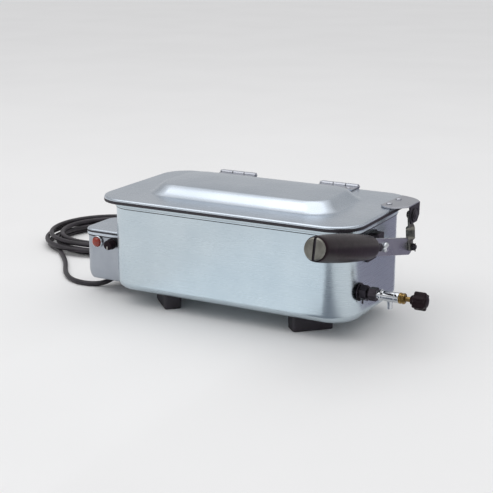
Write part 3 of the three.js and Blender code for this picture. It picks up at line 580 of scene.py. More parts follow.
# Control box: a small folded and welded stainless box on the casing's left end, under its own push-on
# cover. It holds the thermostat and the terminals. Its stainless sheet is left dull from the mill, greyer
# and less even than the casing's.
dull_stainless, at_mm = new_finish("dull_mill_finish_stainless")
rolling = add(dull_stainless, "ShaderNodeTexNoise", {"Vector": at_mm, "Scale": 1 / 20, "Detail": 4})
coat = add(dull_stainless, "ShaderNodeBsdfPrincipled", {
    "Base Color": add(dull_stainless, "ShaderNodeMix", {
        0: add(
            dull_stainless, "ShaderNodeMapRange",
            {"Value": rolling, "From Min": NOISE_LOW, "From Max": NOISE_HIGH},
        ),
        6: colour("a3a9b2"),
        7: colour("acb2ba"),
    }, data_type="RGBA"),
    "Metallic": 1.0,
    "Roughness": add(dull_stainless, "ShaderNodeMapRange", {
        "Value": rolling, "From Min": NOISE_LOW, "From Max": NOISE_HIGH, "To Min": 0.3, "To Max": 0.36,
    }),
})
add(dull_stainless, "ShaderNodeOutputMaterial", {"Surface": coat})


def plate(bm, outlines, thick, at, ease=0.3, steps=2):
    """A sheet cut to its first outline, with the others as holes, raised along Z and eased at its edges."""
    known = set(bm.verts)
    edges = []
    for outline in outlines:
        points = [bm.verts.new((x, y, 0)) for x, y in outline]
        edges += [bm.edges.new(pair) for pair in zip(points, points[1:] + points[:1])]
    if len(outlines) == 1:
        faces = bmesh.ops.contextual_create(bm, geom=edges)["faces"]
    else:
        filled = bmesh.ops.triangle_fill(bm, use_beauty=True, use_dissolve=False, edges=edges)["geom"]
        faces = [item for item in filled if isinstance(item, bmesh.types.BMFace)]
    lifted = bmesh.ops.extrude_face_region(bm, geom=faces, use_keep_orig=True)["geom"]
    bmesh.ops.translate(
        bm, vec=(0, 0, thick), verts=[item for item in lifted if isinstance(item, bmesh.types.BMVert)],
    )
    made = [vert for vert in bm.verts if vert not in known]
    bmesh.ops.recalc_face_normals(bm, faces=list({face for vert in made for face in vert.link_faces}))
    rims = []
    for edge in {edge for vert in made for edge in vert.link_edges}:
        level = abs(edge.verts[0].co.z - edge.verts[1].co.z) < thick / 2
        if edge.is_manifold and edge.calc_face_angle() > 1 and level:
            rims.append(edge)
    if ease:
        bmesh.ops.bevel(
            bm, geom=rims, offset=ease, offset_type="OFFSET", segments=steps, profile=0.5, affect="EDGES",
            material=-1, clamp_overlap=True,
        )
    made = [vert for vert in bm.verts if vert not in known]
    bmesh.ops.transform(bm, matrix=at, verts=made)


stand_on = Matrix(((0, 0, 1, 0), (1, 0, 0, 0), (0, 1, 0, 0), (0, 0, 0, 1)))


def rounded(x0, x1, y0, y1, corner, steps=6):
    """The outline of a rounded rectangle."""
    outline = []
    left, right, front, back = x0 + corner, x1 - corner, y0 + corner, y1 - corner
    for quarter, (x, y) in enumerate(((right, back), (left, back), (left, front), (right, front))):
        for step in range(steps + 1):
            turn = (quarter + step / steps) * math.pi / 2
            outline.append((x + corner * math.cos(turn), y + corner * math.sin(turn)))
    return outline


BOX_X = (-217, -160.6)
BOX_Y = (-50, 18)
BOX_TOP = 62.5
# The radius of its lower end edge, and how far it lies inside its cover.
BOX_EDGE = 11
BOX_IN = 1.5
box = bmesh.new()
folded = []
for bend in range(8):
    turn = bend / 7 * math.pi / 2
    inset = BOX_EDGE * (1 - math.sin(turn))
    corner = max(13.5 - inset, 0.8)
    end, side = BOX_IN + inset, BOX_IN + inset * 0.15
    height = BOX_BOTTOM + BOX_EDGE * (1 - math.cos(turn))
    corners = (corner, 0.9, 0.9, corner)
    folded.append((BOX_X[0] + end, BOX_X[1] - BOX_IN, BOX_Y[0] + side, BOX_Y[1] - side, corners, height))
folded.append((*folded[-1][:5], BOX_TOP - 2))
skin(box, folded, 9)
fit("box_body", box, "bath", dull_stainless, ["control_box"], 50)
# A black strip along the joint between the box and the casing is painted shade: it stands for the shadow in
# the gap there.
gap_shade = bmesh.new()
gap_shade_edge = [(y, z) for y, z in rounded(BOX_Y[0] + 1.1, BOX_Y[1] - 1.1, BOX_BOTTOM - 0.5, BOX_TOP - 8, 6)]
plate(gap_shade, [gap_shade_edge], 2.3, Matrix.Translation((-163.2, 0, 0)) @ stand_on, 0.3)
fit("box_gap_shade_strip", gap_shade, "bath", moulded_rubber)

# Box cover: a shallow pressed tray with a soft top edge, of the lid's bright-rolled sheet, pushed down
# over the box. Two black bands above and below its edge are painted: the upper one stands for the dark
# reflection on the cover's rounded edge, the lower one for the shade under the cover's edge.
rolled_stainless, at_mm = new_finish("bright_rolled_stainless")
ripple = add(rolled_stainless, "ShaderNodeTexNoise", {"Vector": at_mm, "Scale": 1 / 60, "Detail": 2})
smear = add(rolled_stainless, "ShaderNodeTexNoise", {
    "Vector": add(
        rolled_stainless, "ShaderNodeVectorMath", {0: at_mm, 1: (0.02, 0.9, 0.9)}, operation="MULTIPLY",
    ),
    "Scale": 1, "Detail": 4,
})
coat = add(rolled_stainless, "ShaderNodeBsdfPrincipled", {
    "Base Color": add(rolled_stainless, "ShaderNodeMix", {
        0: add(
            rolled_stainless, "ShaderNodeMapRange",
            {"Value": ripple, "From Min": NOISE_LOW, "From Max": NOISE_HIGH},
        ),
        6: colour("c0c9d3"),
        7: colour("c9d1da"),
    }, data_type="RGBA"),
    "Metallic": 1.0,
    "Roughness": add(rolled_stainless, "ShaderNodeMapRange", {
        "Value": smear, "From Min": NOISE_LOW, "From Max": NOISE_HIGH, "To Min": 0.265, "To Max": 0.29,
    }),
})
add(rolled_stainless, "ShaderNodeOutputMaterial", {"Surface": coat})
cover = bmesh.new()
tray = []
for inset, z in (
    (1.3, BOX_TOP - 1.4), (1.2, BOX_TOP - 7.3), (0.9, BOX_TOP - 7.5), (0.1, BOX_TOP - 7.4), (0, BOX_TOP - 7),
    (0, BOX_TOP - 2.2), (0.25, BOX_TOP - 1.1), (0.8, BOX_TOP - 0.4), (1.7, BOX_TOP - 0.05), (2.6, BOX_TOP),
):
    tray.append((BOX_X[0] + inset, BOX_X[1] - inset, BOX_Y[0] + inset, BOX_Y[1] - inset,
                 (15 - inset, 1, 1, 15 - inset), z))
skin(cover, tray, 9)
# Painted reflection and shade: black hoops for the dark reflection on the cover's rounded edge and the shade
# under it.
for low, high, out in ((BOX_TOP - 4.2, BOX_TOP - 2, 0.12), (BOX_TOP - 9, BOX_TOP - 7.6, -0.6)):
    band = bmesh.new()
    hoop = []
    for inset, z in ((-out, low), (-out, high), (1.6 - out, high), (1.6 - out, low)):
        hoop.append((BOX_X[0] + inset, BOX_X[1] - inset - 0.3, BOX_Y[0] + inset, BOX_Y[1] - inset,
                     (15 - inset, 1, 1, 15 - inset), z))
    skin(band, hoop, 9, hoop=True)
    fit(f"box_painted_band_{'upper' if out > 0 else 'lower'}", band, "bath", moulded_rubber)
fit("box_cover", cover, "bath", rolled_stainless, ["control_box_cover"], 50)

# Pilot lamp: a small red moulded lens behind a chromed brass ring, pushed into a hole in the front of
# the control box. The chrome is nearly a mirror, with a faint film on it.
chrome_plate, at_mm = new_finish("polished_chrome_plate")
film = add(chrome_plate, "ShaderNodeTexNoise", {"Vector": at_mm, "Scale": 1 / 4, "Detail": 4})
coat = add(chrome_plate, "ShaderNodeBsdfPrincipled", {
    "Base Color": add(chrome_plate, "ShaderNodeMix", {
        0: add(
            chrome_plate, "ShaderNodeMapRange",
            {"Value": film, "From Min": NOISE_LOW, "From Max": NOISE_HIGH},
        ),
        6: colour("c3c7cc"),
        7: colour("d6d9dd"),
    }, data_type="RGBA"),
    "Metallic": 1.0,
    "Roughness": add(chrome_plate, "ShaderNodeMapRange", {
        "Value": film, "From Min": NOISE_LOW, "From Max": NOISE_HIGH, "To Min": 0.07, "To Max": 0.17,
    }),
    "Normal": add(chrome_plate, "ShaderNodeBump", {"Height": film, "Distance": 0.05 * MM, "Strength": 0.3}),
})
add(chrome_plate, "ShaderNodeOutputMaterial", {"Surface": coat})
# Moulded red acrylic, clear enough to look deep, with fine prism ridges inside it.
red_acrylic, at_mm = new_finish("moulded_red_acrylic")
prisms = add(red_acrylic, "ShaderNodeTexWave", {"Vector": at_mm, "Scale": 0.35, "Distortion": 0.4})
coat = add(red_acrylic, "ShaderNodeBsdfPrincipled", {
    "Base Color": add(red_acrylic, "ShaderNodeMix", {
        0: add(red_acrylic, "ShaderNodeMapRange", {"Value": prisms, "From Min": 0, "From Max": 1}),
        6: colour("701b0b"),
        7: colour("952d15"),
    }, data_type="RGBA"),
    "Roughness": 0.16,
    "IOR": 1.49,
    "Coat Weight": 0.5,
    "Coat Roughness": 0.05,
    "Emission Color": colour("a02312"),
    "Emission Strength": 0.05,
})
add(red_acrylic, "ShaderNodeOutputMaterial", {"Surface": coat})
LAMP_X, DIAL_X, DIAL_Z = -195.2, -173.2, 47.2
LAMP = Matrix.Translation((LAMP_X, BOX_Y[0], DIAL_Z)) @ ALONG_Y
lamp_ring = bmesh.new()
turned(
    lamp_ring,
    [
        (6.2, 0.4), (7.7, 0.4), (7.7, -0.6), (7.5, -1.2), (7.1, -1.6), (6.7, -1.7), (6.4, -1.5),
        (6.2, -1.1), (6.2, 0.4),
    ],
    LAMP, 48,
)
fit("lamp_ring", lamp_ring, "bath", chrome_plate, ["pilot_lamp_bezel"])
lens = bmesh.new()
turned(
    lens,
    [
        (0, -5.4), (2.2, -5.25), (4, -4.7), (5.2, -3.8), (5.9, -2.7), (6.1, -1.6), (6.1, 0.3),
        (4.7, 0.6), (4.7, 14), (0, 14),
    ],
    LAMP, 48,
)
fit("lamp_lens", lens, "bath", red_acrylic, ["pilot_lamp_lens"])

# Heat knob: a small fluted and flanged phenolic knob, pushed on the thermostat's spindle, with a white
# line that points at the setting.
DIAL = Matrix.Translation((DIAL_X, BOX_Y[0], DIAL_Z)) @ ALONG_Y
FLUTES = 16
heat_knob = bmesh.new()
fluted = turned(
    heat_knob,
    [
        (0, -10.8), (4.6, -10.8), (5.2, -10.6), (5.7, -10), (6.1, -8.5), (6.3, -3), (6.8, -2.6),
        (6.8, -1.3), (0, -1.3),
    ],
    DIAL, 64,
)
for vert in fluted:
    away = Vector((vert.co.x - DIAL_X, vert.co.z - DIAL_Z))
    if away.length > 5 and vert.co.y < BOX_Y[0] - 2.8:
        away *= 1 - 0.07 * (math.cos(FLUTES * math.atan2(away.y, away.x)) > 0.2)
        vert.co.x = away.x + DIAL_X
        vert.co.z = away.y + DIAL_Z
fit("heat_knob_grip", heat_knob, "heat_knob", phenolic, ["thermostat_knob"])
# Baked white enamel, filled into a groove in the knob's face.
white_fill, at_mm = new_finish("white_enamel_fill")
chalk = add(white_fill, "ShaderNodeTexNoise", {"Vector": at_mm, "Scale": 1 / 0.8, "Detail": 3})
coat = add(white_fill, "ShaderNodeBsdfPrincipled", {
    "Base Color": add(white_fill, "ShaderNodeMix", {
        0: add(
            white_fill, "ShaderNodeMapRange",
            {"Value": chalk, "From Min": NOISE_LOW, "From Max": NOISE_HIGH},
        ),
        6: colour("c9c7c2"),
        7: colour("dedcd6"),
    }, data_type="RGBA"),
    "Roughness": 0.5,
})
add(white_fill, "ShaderNodeOutputMaterial", {"Surface": coat})
pointer = bmesh.new()
plate(
    pointer, [[(-0.5, 1), (0.5, 1), (0.5, 5), (-0.5, 5)]], 0.25, DIAL @ Matrix.Translation((0, 0, -11)),
    0.08,
)
fit("heat_knob_pointer", pointer, "heat_knob", white_fill)

# Lid: one pressing of bright sheet. Its edge is turned down all round, and a broad crowned panel is
# raised in the middle to stiffen it and to shed the drips.
LID_TOP = 116.7
LID_X = HALF_LONG + 8
LID_Y = HALF_WIDE + 15
LID_CORNER = 36
SKIRT = 6
LID_BEND = 2.4
PANEL = {"x": (-127, 122), "y": (-57, 63), "corner": 30, "slope": 18, "height": 12}


def lid_edge(inset, z):
    """A level of the lid's outer edge."""
    return (-LID_X + inset, LID_X - inset, -LID_Y + inset, LID_Y - inset, LID_CORNER - inset, z)


def raised(inset, z, pinch=1.0):
    """A level of the lid's raised panel."""
    (x0, x1), (y0, y1) = PANEL["x"], PANEL["y"]
    deep = inset * pinch
    corner = max(PANEL["corner"] - inset * 0.4, 8)
    return (x0 + inset, x1 - inset, y0 + deep, y1 - deep, corner, z)


top_side = [lid_edge(0.5, LID_TOP - SKIRT), lid_edge(0.05, LID_TOP - 5.6), lid_edge(0, LID_TOP - LID_BEND)]
for bend in range(1, 6):
    turn = bend / 5 * math.pi / 2
    top_side.append(lid_edge(LID_BEND * (1 - math.cos(turn)), LID_TOP - LID_BEND * (1 - math.sin(turn))))
top_side += [lid_edge(4, LID_TOP), lid_edge(12, LID_TOP)]
for part in range(13):
    share = part / 12
    rise = PANEL["height"] * (0.5 - 0.5 * math.cos(math.pi * share))
    top_side.append(raised(PANEL["slope"] * share, LID_TOP + rise))
# How high the panel is crowned, over how wide an edge.
CROWN = 1.2
CROWN_IN = 38
for part in range(1, 9):
    share = part / 8
    inset = PANEL["slope"] + CROWN_IN * share
    top_side.append(raised(inset, LID_TOP + PANEL["height"] + CROWN * (1 - (1 - share) ** 2), 0.95))
under_side = [lid_edge(SHEET, LID_TOP - SKIRT), lid_edge(SHEET, LID_TOP - LID_BEND)]
under_side += [lid_edge(2.6, LID_TOP - SHEET), lid_edge(12, LID_TOP - SHEET)]
for part in range(7):
    share = part / 6
    rise = PANEL["height"] * (0.5 - 0.5 * math.cos(math.pi * share))
    under_side.append(raised(PANEL["slope"] * share, LID_TOP + rise - SHEET))
under_side.append(raised(PANEL["slope"] + CROWN_IN, LID_TOP + PANEL["height"] + CROWN - SHEET, 0.95))
lid = bmesh.new()
skin(lid, [*reversed(under_side), *top_side], 16)
fit("lid_pressing", lid, "lid", rolled_stainless, ["lid_panel"], 50)

# Lid edge shade: a black band round the lid's turned-down edge, all round. It is painted shade, for the
# dark shade along the lower part of the edge.
lid_edge_shade = bmesh.new()
edge_shade_levels = []
for inset, z in (
    (-0.15, LID_TOP - 5.9), (-0.15, LID_TOP - 3), (0.05, LID_TOP - 2.7), (2, LID_TOP - 2.7),
    (2, LID_TOP - 6.3), (0.1, LID_TOP - 6.3),
):
    edge_shade_levels.append(lid_edge(inset, z))
skin(lid_edge_shade, edge_shade_levels, 16, hoop=True)
fit("lid_edge_shade", lid_edge_shade, "lid", moulded_rubber)

# Hinges: two plated butt hinges along the back. Each upper leaf is screwed to the lid, the lower leaf
# is bent down over the rim, and a headed pin runs through the three knuckles.
HINGE_Y = 98.5
HINGE_Z = 118.2
KNUCKLE = 3.2
HINGE_LONG = 50
THIRD = HINGE_LONG / 3
HINGE_PLACES = (("left", -76), ("right", 66))


def knuckle(bm, x, long):
    """One rolled knuckle of a hinge, with softened ends, from x on."""
    rolled_up = [
        (1.6, 0.3), (KNUCKLE - 0.5, 0.3), (KNUCKLE, 0.8), (KNUCKLE, long - 0.8),
        (KNUCKLE - 0.5, long - 0.3),
    ]
    turned(
        bm, [*rolled_up, (1.6, long - 0.3), (1.6, 0.3)],
        Matrix.Translation((x, HINGE_Y, HINGE_Z)) @ ALONG_X, 28,
    )


def screw_head(bm, at, radius=2.6, high=1.1):
    """A raised countersunk head, with no slot cut in it."""
    turned(
        bm,
        [
            (0, -0.4), (radius, -0.4), (radius, 0.15), (radius * 0.8, high * 0.6),
            (radius * 0.45, high * 0.93), (0, high),
        ],
        at, 24,
    )


for name, x in HINGE_PLACES:
    leaf = bmesh.new()
    half = HINGE_LONG / 2 - 0.3
    upper = [
        (x - half, 78), (x + half, 78), (x + half, 94.2), (x + THIRD / 2 - 0.4, 94.2),
        (x + THIRD / 2 - 0.4, 97.6),
    ]
    upper += [(x - THIRD / 2 + 0.4, 97.6), (x - THIRD / 2 + 0.4, 94.2), (x - half, 94.2)]
    plate(leaf, [upper], 1.8, Matrix.Translation((0, 0, LID_TOP + 0.3)), 0.4)
    knuckle(leaf, x - THIRD / 2, THIRD)
    for away, depth in ((-17, 85), (0, 83), (17, 85)):
        screw_head(leaf, Matrix.Translation((x + away, depth, LID_TOP + 2.1)))
    fit(f"hinge_leaf_{name}_plate", leaf, "lid", nickel_plate, ["hinge_leaf_" + name])
    lower = bmesh.new()
    strap = [
        (80.4, 76), (82.1, 76), (82.1, 96.6), (100.2, 96.6), (100.9, 97.3), (100.9, HINGE_Z),
        (99.2, HINGE_Z), (99.2, 98.6), (80.4, 98.6),
    ]
    stood = Matrix.Translation((x - half, 0, 0)) @ stand_on
    plate(lower, [strap], 2 * half, stood, 0.3)
    knuckle(lower, x - HINGE_LONG / 2, THIRD)
    knuckle(lower, x + THIRD / 2, THIRD)
    for away in (-16, 16):
        screw_head(lower, Matrix.Translation((x + away, 82.1, 87)) @ ALONG_Y)
    fit(f"hinge_strap_{name}", lower, "bath", nickel_plate, ["hinge_bracket_" + name])
    pin = bmesh.new()
    headed = [
        (0, -2.2), (1.9, -2.1), (2.5, -1.5), (2.6, -0.9), (2.6, -0.3), (1.45, -0.3), (1.45, 50.6),
        (1.1, 51), (0, 51),
    ]
    turned(pin, headed, Matrix.Translation((x - HINGE_LONG / 2, HINGE_Y, HINGE_Z)) @ ALONG_X, 24)
    fit(f"hinge_pin_{name}_headed", pin, "bath", nickel_plate, ["hinge_pin_" + name])

# Ear: a blanked steel plate riveted to the lid's right end. Its outer edge is bent down as a tab with
# a slot, in which the lifting link's pin slides.
EAR_Z = LID_TOP + 0.3
EAR_OUT = 184.4
EAR_SHEET = 2
# Oil-blackened steel: dark with a soft shine, rubbed brighter where it is handled.
blackened_steel, at_mm = new_finish("oil_blackened_steel")
rubbed = add(blackened_steel, "ShaderNodeTexNoise", {"Vector": at_mm, "Scale": 1 / 6, "Detail": 5})
coat = add(blackened_steel, "ShaderNodeBsdfPrincipled", {
    "Base Color": add(blackened_steel, "ShaderNodeMix", {
        0: add(
            blackened_steel, "ShaderNodeMapRange",
            {"Value": rubbed, "From Min": NOISE_LOW, "From Max": NOISE_HIGH},
        ),
        6: colour("29262b"),
        7: colour("47434a"),
    }, data_type="RGBA"),
    "Metallic": 0.9,
    "Roughness": add(blackened_steel, "ShaderNodeMapRange", {
        "Value": rubbed, "From Min": NOISE_LOW, "From Max": NOISE_HIGH, "To Min": 0.28, "To Max": 0.48,
    }),
    "Normal": add(
        blackened_steel, "ShaderNodeBump", {"Height": rubbed, "Distance": 0.02 * MM, "Strength": 0.3},
    ),
})
add(blackened_steel, "ShaderNodeOutputMaterial", {"Surface": coat})

ear = bmesh.new()


def bowed(start, control, end, steps=10):
    """Points along a bowed edge, without its first one."""
    points = []
    for step in range(1, steps + 1):
        t = step / steps
        points.append(
            tuple((1 - t) ** 2 * a + 2 * t * (1 - t) * b + t * t * c for a, b, c in zip(start, control, end))
        )
    return points


ear_edge = [(152, 22), *bowed((152, 22), (158, 12), (167, 14)), *bowed((167, 14), (178, 18), (EAR_OUT, 30))]
ear_edge += [(EAR_OUT, 60), *bowed((EAR_OUT, 60), (176, 74), (156, 78))]
plate(ear, [ear_edge], EAR_SHEET, Matrix.Translation((0, 0, EAR_Z)), 0.45, 3)
stood = Matrix.Translation((EAR_OUT - EAR_SHEET, 0, 0)) @ stand_on
# The pin's place with the lid shut, the room round it, and how far it slides back and up in the slot.
HEAD_Y, HEAD_Z = 44, 105.5
PIN_ROOM = 3.0
SLIDE_Y, SLIDE_Z = 7, 3.1
slot_y = (HEAD_Y - PIN_ROOM, HEAD_Y + PIN_ROOM + SLIDE_Y)
slot_z = (HEAD_Z - PIN_ROOM, HEAD_Z + PIN_ROOM + SLIDE_Z)
slot = [(slot_y[0], slot_z[0]), (slot_y[1], slot_z[0]), (slot_y[1], slot_z[1]), (slot_y[0], slot_z[1])]
tab = [(36.5, 96), (54, 96), (61, 103), (62, EAR_Z + 1), (31, EAR_Z + 1), (35, 97.5)]
fit("ear_plate", ear, "lid", nickel_plate, ["lid_ear"])
ear_shaded_tab = bmesh.new()
plate(ear_shaded_tab, [tab, slot], EAR_SHEET, stood, 0.35)
for number, (x, y) in enumerate(((159, 30), (160, 56)), 1):
    rivet = bmesh.new()
    shank = [
        (0, -3.4), (3.4, -3.4), (3.4, -1.4), (1.9, -1.4), (1.9, 2.6), (3.9, 2.6), (3.7, 3.1), (3, 3.6),
        (1.8, 3.9), (0, 4),
    ]
    turned(rivet, shank, Matrix.Translation((x, y, LID_TOP)), 28)
    fit(f"ear_rivet_{number}_head", rivet, "lid", nickel_plate, [f"ear_rivet_{number}"])

# The tab is bent from the same sheet as the ear plate, but takes the dark blackened finish: painted shade on
# its outward face.
fit("ear_shaded_tab", ear_shaded_tab, "lid", blackened_steel)

# Lever bracket: a blackened steel block, screwed to the casing's right end by a flange, that carries
# the lever's pivot bolt.
PIVOT = Vector((0, -26, 83))
BAR_IN = 173.7
BAR_OUT = 177.7
BAR_MID = (BAR_IN + BAR_OUT) / 2
bracket = bmesh.new()
plate(
    bracket, [rounded(-40, -12, 66, 99, 3)], 2.7, Matrix.Translation((HALF_LONG + 0.3, 0, 0)) @ stand_on,
    0.4,
)
plate(
    bracket, [rounded(-34, -18, 73, 99, 2.5)], 10.6,
    Matrix.Translation((HALF_LONG + 2.8, 0, 0)) @ stand_on, 0.6, 3,
)
for y, z in ((-37.2, 70), (-14.8, 70), (-37.2, 95), (-14.8, 95)):
    screw_head(bracket, Matrix.Translation((HALF_LONG + 3, y, z)) @ ALONG_X, 1.9, 1.0)
fit("pivot_bracket", bracket, "bath", blackened_steel, ["lever_bracket"])

# Lever: a flat nickel-plated bar that rocks on the pivot bolt. A round tang at its front carries the
# grip, and its rounded back end pulls the link.
# How far the link's bolt lies behind the pivot and below it.
BACK, DOWN = 76, 17.2
TILT = math.atan2(DOWN, BACK)
REACH = math.hypot(DOWN, BACK)
LEVER = Matrix.Translation(PIVOT) @ Matrix.Rotation(-TILT, 4, "X")
GRIP_FROM = -41
GRIP_TO = -180
bar = bmesh.new()
BAR_HALF = 10
bar_edge = [(GRIP_FROM + 1, -BAR_HALF), (REACH, -BAR_HALF)]
for step in range(1, 16):
    turn = step * math.pi / 16
    bar_edge.append((REACH + BAR_HALF * math.sin(turn), -BAR_HALF * math.cos(turn)))
bar_edge += [(REACH, BAR_HALF), (GRIP_FROM + 1, BAR_HALF)]
plate(bar, [bar_edge], BAR_OUT - BAR_IN, LEVER @ Matrix.Translation((BAR_IN, 0, 0)) @ stand_on, 0.7, 3)
turned(
    bar, [(0, -174), (4.2, -174), (4.2, GRIP_FROM + 0.5), (0, GRIP_FROM + 0.5)],
    LEVER @ Matrix.Translation((BAR_MID, 0, 0)) @ ALONG_Y, 24,
)
fit("lever_strap", bar, "lever", nickel_plate, ["lever_bar"])

# Grip: a turned barrel of dark phenolic, waisted at both ends, pushed on the tang up to the bar and held
# there by a broad slotted screw.
grip_axis = LEVER @ Matrix.Translation((BAR_MID, 0, 0)) @ ALONG_Y
GRIP_STEPS = 22
swell = []
for step in range(1, GRIP_STEPS):
    share = step / GRIP_STEPS
    swell.append(
        (13 + 2.2 * math.sin(math.pi * share) ** 0.8, GRIP_TO + (GRIP_FROM - 0.3 - GRIP_TO) * share)
    )
barrel = [
    (4.5, GRIP_TO), (11.2, GRIP_TO), (12.2, GRIP_TO + 0.5), (12.9, GRIP_TO + 1.6), (13.1, GRIP_TO + 3.4),
]
barrel += [point for point in swell if GRIP_TO + 5 < point[1] < GRIP_FROM - 5]
barrel += [
    (13.1, GRIP_FROM - 3.6), (12.8, GRIP_FROM - 1.6), (12, GRIP_FROM - 0.6), (4.5, GRIP_FROM - 0.3),
    (4.5, GRIP_TO),
]
grip = bmesh.new()
turned(grip, barrel, grip_axis, 64)
fit("grip_barrel", grip, "lever", phenolic, ["grip"])

# End screw: a nickel-plated steel disc, screwed into the tang's end, with a wide straight slot for a
# coin. The black disc at the slot's floor is painted shade in the recess.
SLOT = 1.45
# Old nickel plating, gone yellow-grey and dull from wax and hands.
aged_plate, at_mm = new_finish("aged_nickel_plate")
patina = add(aged_plate, "ShaderNodeTexNoise", {"Vector": at_mm, "Scale": 1 / 8, "Detail": 5})
coat = add(aged_plate, "ShaderNodeBsdfPrincipled", {
    "Base Color": add(aged_plate, "ShaderNodeMix", {
        0: add(
            aged_plate, "ShaderNodeMapRange",
            {"Value": patina, "From Min": NOISE_LOW, "From Max": NOISE_HIGH},
        ),
        6: colour("777670"),
        7: colour("8b8a84"),
    }, data_type="RGBA"),
    "Metallic": 1.0,
    "Roughness": add(aged_plate, "ShaderNodeMapRange", {
        "Value": patina, "From Min": NOISE_LOW, "From Max": NOISE_HIGH, "To Min": 0.3, "To Max": 0.42,
    }),
})
add(aged_plate, "ShaderNodeOutputMaterial", {"Surface": coat})

end_screw = bmesh.new()
for sign in (-1, 1):
    half_disc = bmesh.new()
    disc = [(0, -2.9), (9.6, -2.9), (10.6, -2.6), (11.3, -2), (11.6, -1.3), (11.6, -0.3), (0, -0.3)]
    turned(half_disc, [(radius, GRIP_TO + along) for radius, along in disc], ALONG_Y, 72)
    cut = bmesh.ops.bisect_plane(
        half_disc, geom=half_disc.verts[:] + half_disc.edges[:] + half_disc.faces[:], dist=0.0001,
        plane_co=(sign * SLOT, 0, 0), plane_no=(sign, 0, 0), clear_inner=True,
    )["geom_cut"]
    bmesh.ops.contextual_create(
        half_disc, geom=[item for item in cut if isinstance(item, bmesh.types.BMEdge)],
    )
    half_mesh = bpy.data.meshes.new("half_disc")
    half_disc.to_mesh(half_mesh)
    half_disc.free()
    end_screw.from_mesh(half_mesh)
    bpy.data.meshes.remove(half_mesh)
bmesh.ops.transform(end_screw, matrix=LEVER @ Matrix.Translation((BAR_MID, 0, 0)), verts=end_screw.verts)
fit("grip_end_disc", end_screw, "lever", aged_plate, ["grip_end_screw"])
# Painted shade: a black disc at the floor of the slot.
slot_shade = bmesh.new()
turned(
    slot_shade,
    [(0, -1.1), (11.3, -1.1), (11.3, -0.35), (1.7, -0.35), (1.7, 15), (0, 15)],
    grip_axis @ Matrix.Translation((0, 0, GRIP_TO)), 72,
)
fit("grip_slot_shade", slot_shade, "lever", blackened_steel)

# Bolts of the lever: a bright domed pivot bolt, and a blackened stud in front of it that locks the
# tang in the bar.
STUD_AT = -16.5
stud = bmesh.new()
turned(
    stud,
    [
        (0, BAR_IN - 2), (1.9, BAR_IN - 2), (1.9, BAR_OUT + 0.3), (4.5, BAR_OUT + 0.3),
        (4.5, BAR_OUT + 1.9), (3.9, BAR_OUT + 2.7), (2.2, BAR_OUT + 3), (0, BAR_OUT + 3),
    ],
    LEVER @ Matrix.Translation((0, STUD_AT, 0)) @ ALONG_X, 32,
)
fit("tang_stud", stud, "lever", blackened_steel, ["grip_lock_stud"])
BOLT_HEAD = 5.8
DOME_FROM = BAR_OUT + 1.3
DOME_HIGH = 3.3
pivot_bolt = bmesh.new()
domed = [(0, HALF_LONG + 1.6), (2.9, HALF_LONG + 1.6), (2.9, BAR_OUT + 0.3), (BOLT_HEAD, BAR_OUT + 0.3)]
domed.append((BOLT_HEAD, DOME_FROM))
for step in range(1, 8):
    turn = step * math.pi / 16
    domed.append((BOLT_HEAD * math.cos(turn), DOME_FROM + DOME_HIGH * math.sin(turn)))
turned(pivot_bolt, [*domed, (0, DOME_FROM + DOME_HIGH)], Matrix.Translation(PIVOT) @ ALONG_X, 40)
fit("pivot_bolt_domed", pivot_bolt, "bath", chrome_plate, ["pivot_bolt"])

# Link: a strip of dulled nickel-plated steel, twisted edge-on between its two eyes. It hangs between a
# bolt with two nuts and a split pin on the lever and a headed pin in the ear's slot. The upper flat is
# long enough to keep the twist clear of the tab when the lid is open.
FOOT_AT = Vector((0, 50, 65.8))
HEAD_AT = Vector((0, HEAD_Y, HEAD_Z))
LEAN = math.atan2(HEAD_AT.y - FOOT_AT.y, HEAD_AT.z - FOOT_AT.z)
LINK_LONG = (HEAD_AT - FOOT_AT).length
LINK = Matrix.Translation(FOOT_AT) @ Matrix.Rotation(-LEAN, 4, "X")
link = bmesh.new()
LINK_IN = 178.1
HALF_THICK = 1.2
LINK_MID = LINK_IN + HALF_THICK
EYE = 5.2
TWIST_LONG = 8
FOOT_FLAT = 6.6
HEAD_FLAT = 12.5
LAP = 0.2
for centre, out, end in ((0, -1, FOOT_FLAT), (LINK_LONG, 1, LINK_LONG - HEAD_FLAT)):
    eye = []
    for step in range(15):
        turn = step * math.pi / 14
        eye.append((EYE * math.cos(turn), centre + out * EYE * math.sin(turn)))
    plate(
        link, [[*eye, (-EYE, end), (EYE, end)]], 2 * HALF_THICK,
        LINK @ Matrix.Translation((LINK_IN, 0, 0)) @ stand_on, 0.3,
    )
known = set(link.verts)
across = ((-HALF_THICK, -EYE), (HALF_THICK, -EYE), (HALF_THICK, EYE), (-HALF_THICK, EYE))
end_face = [link.faces.new([link.verts.new((LINK_MID + x, y, FOOT_FLAT - LAP)) for x, y in across])]
# A quarter turn, a straight length, for which the spin still needs some angle, and a quarter turn back.
straight = LINK_LONG - FOOT_FLAT - HEAD_FLAT + 2 * LAP - 2 * TWIST_LONG
QUARTER = math.pi / 2
for turn, long, steps in ((-QUARTER, TWIST_LONG, 12), (0.0001, straight, 3), (QUARTER, TWIST_LONG, 12)):
    grown = bmesh.ops.spin(
        link, geom=end_face, cent=(LINK_MID, 0, 0), axis=(0, 0, 1), dvec=(0, 0, long / steps),
        angle=turn, steps=steps,
    )["geom_last"]
    end_face = [item for item in grown if isinstance(item, bmesh.types.BMFace)]
bmesh.ops.transform(link, matrix=LINK, verts=[vert for vert in link.verts if vert not in known])
fit("link_strip", link, "link", aged_plate, ["lift_link"], 45)
HEX = 6


def nut(bm, at, low, high, across):
    """A hexagonal nut with its corners chamfered, along Z."""
    radius = across / 2 / math.cos(math.pi / HEX)
    outline = [
        (radius * math.cos(turn * math.pi / 3), radius * math.sin(turn * math.pi / 3))
        for turn in range(HEX)
    ]
    plate(bm, [outline], high - low, at @ Matrix.Translation((0, 0, low)), 0.35)


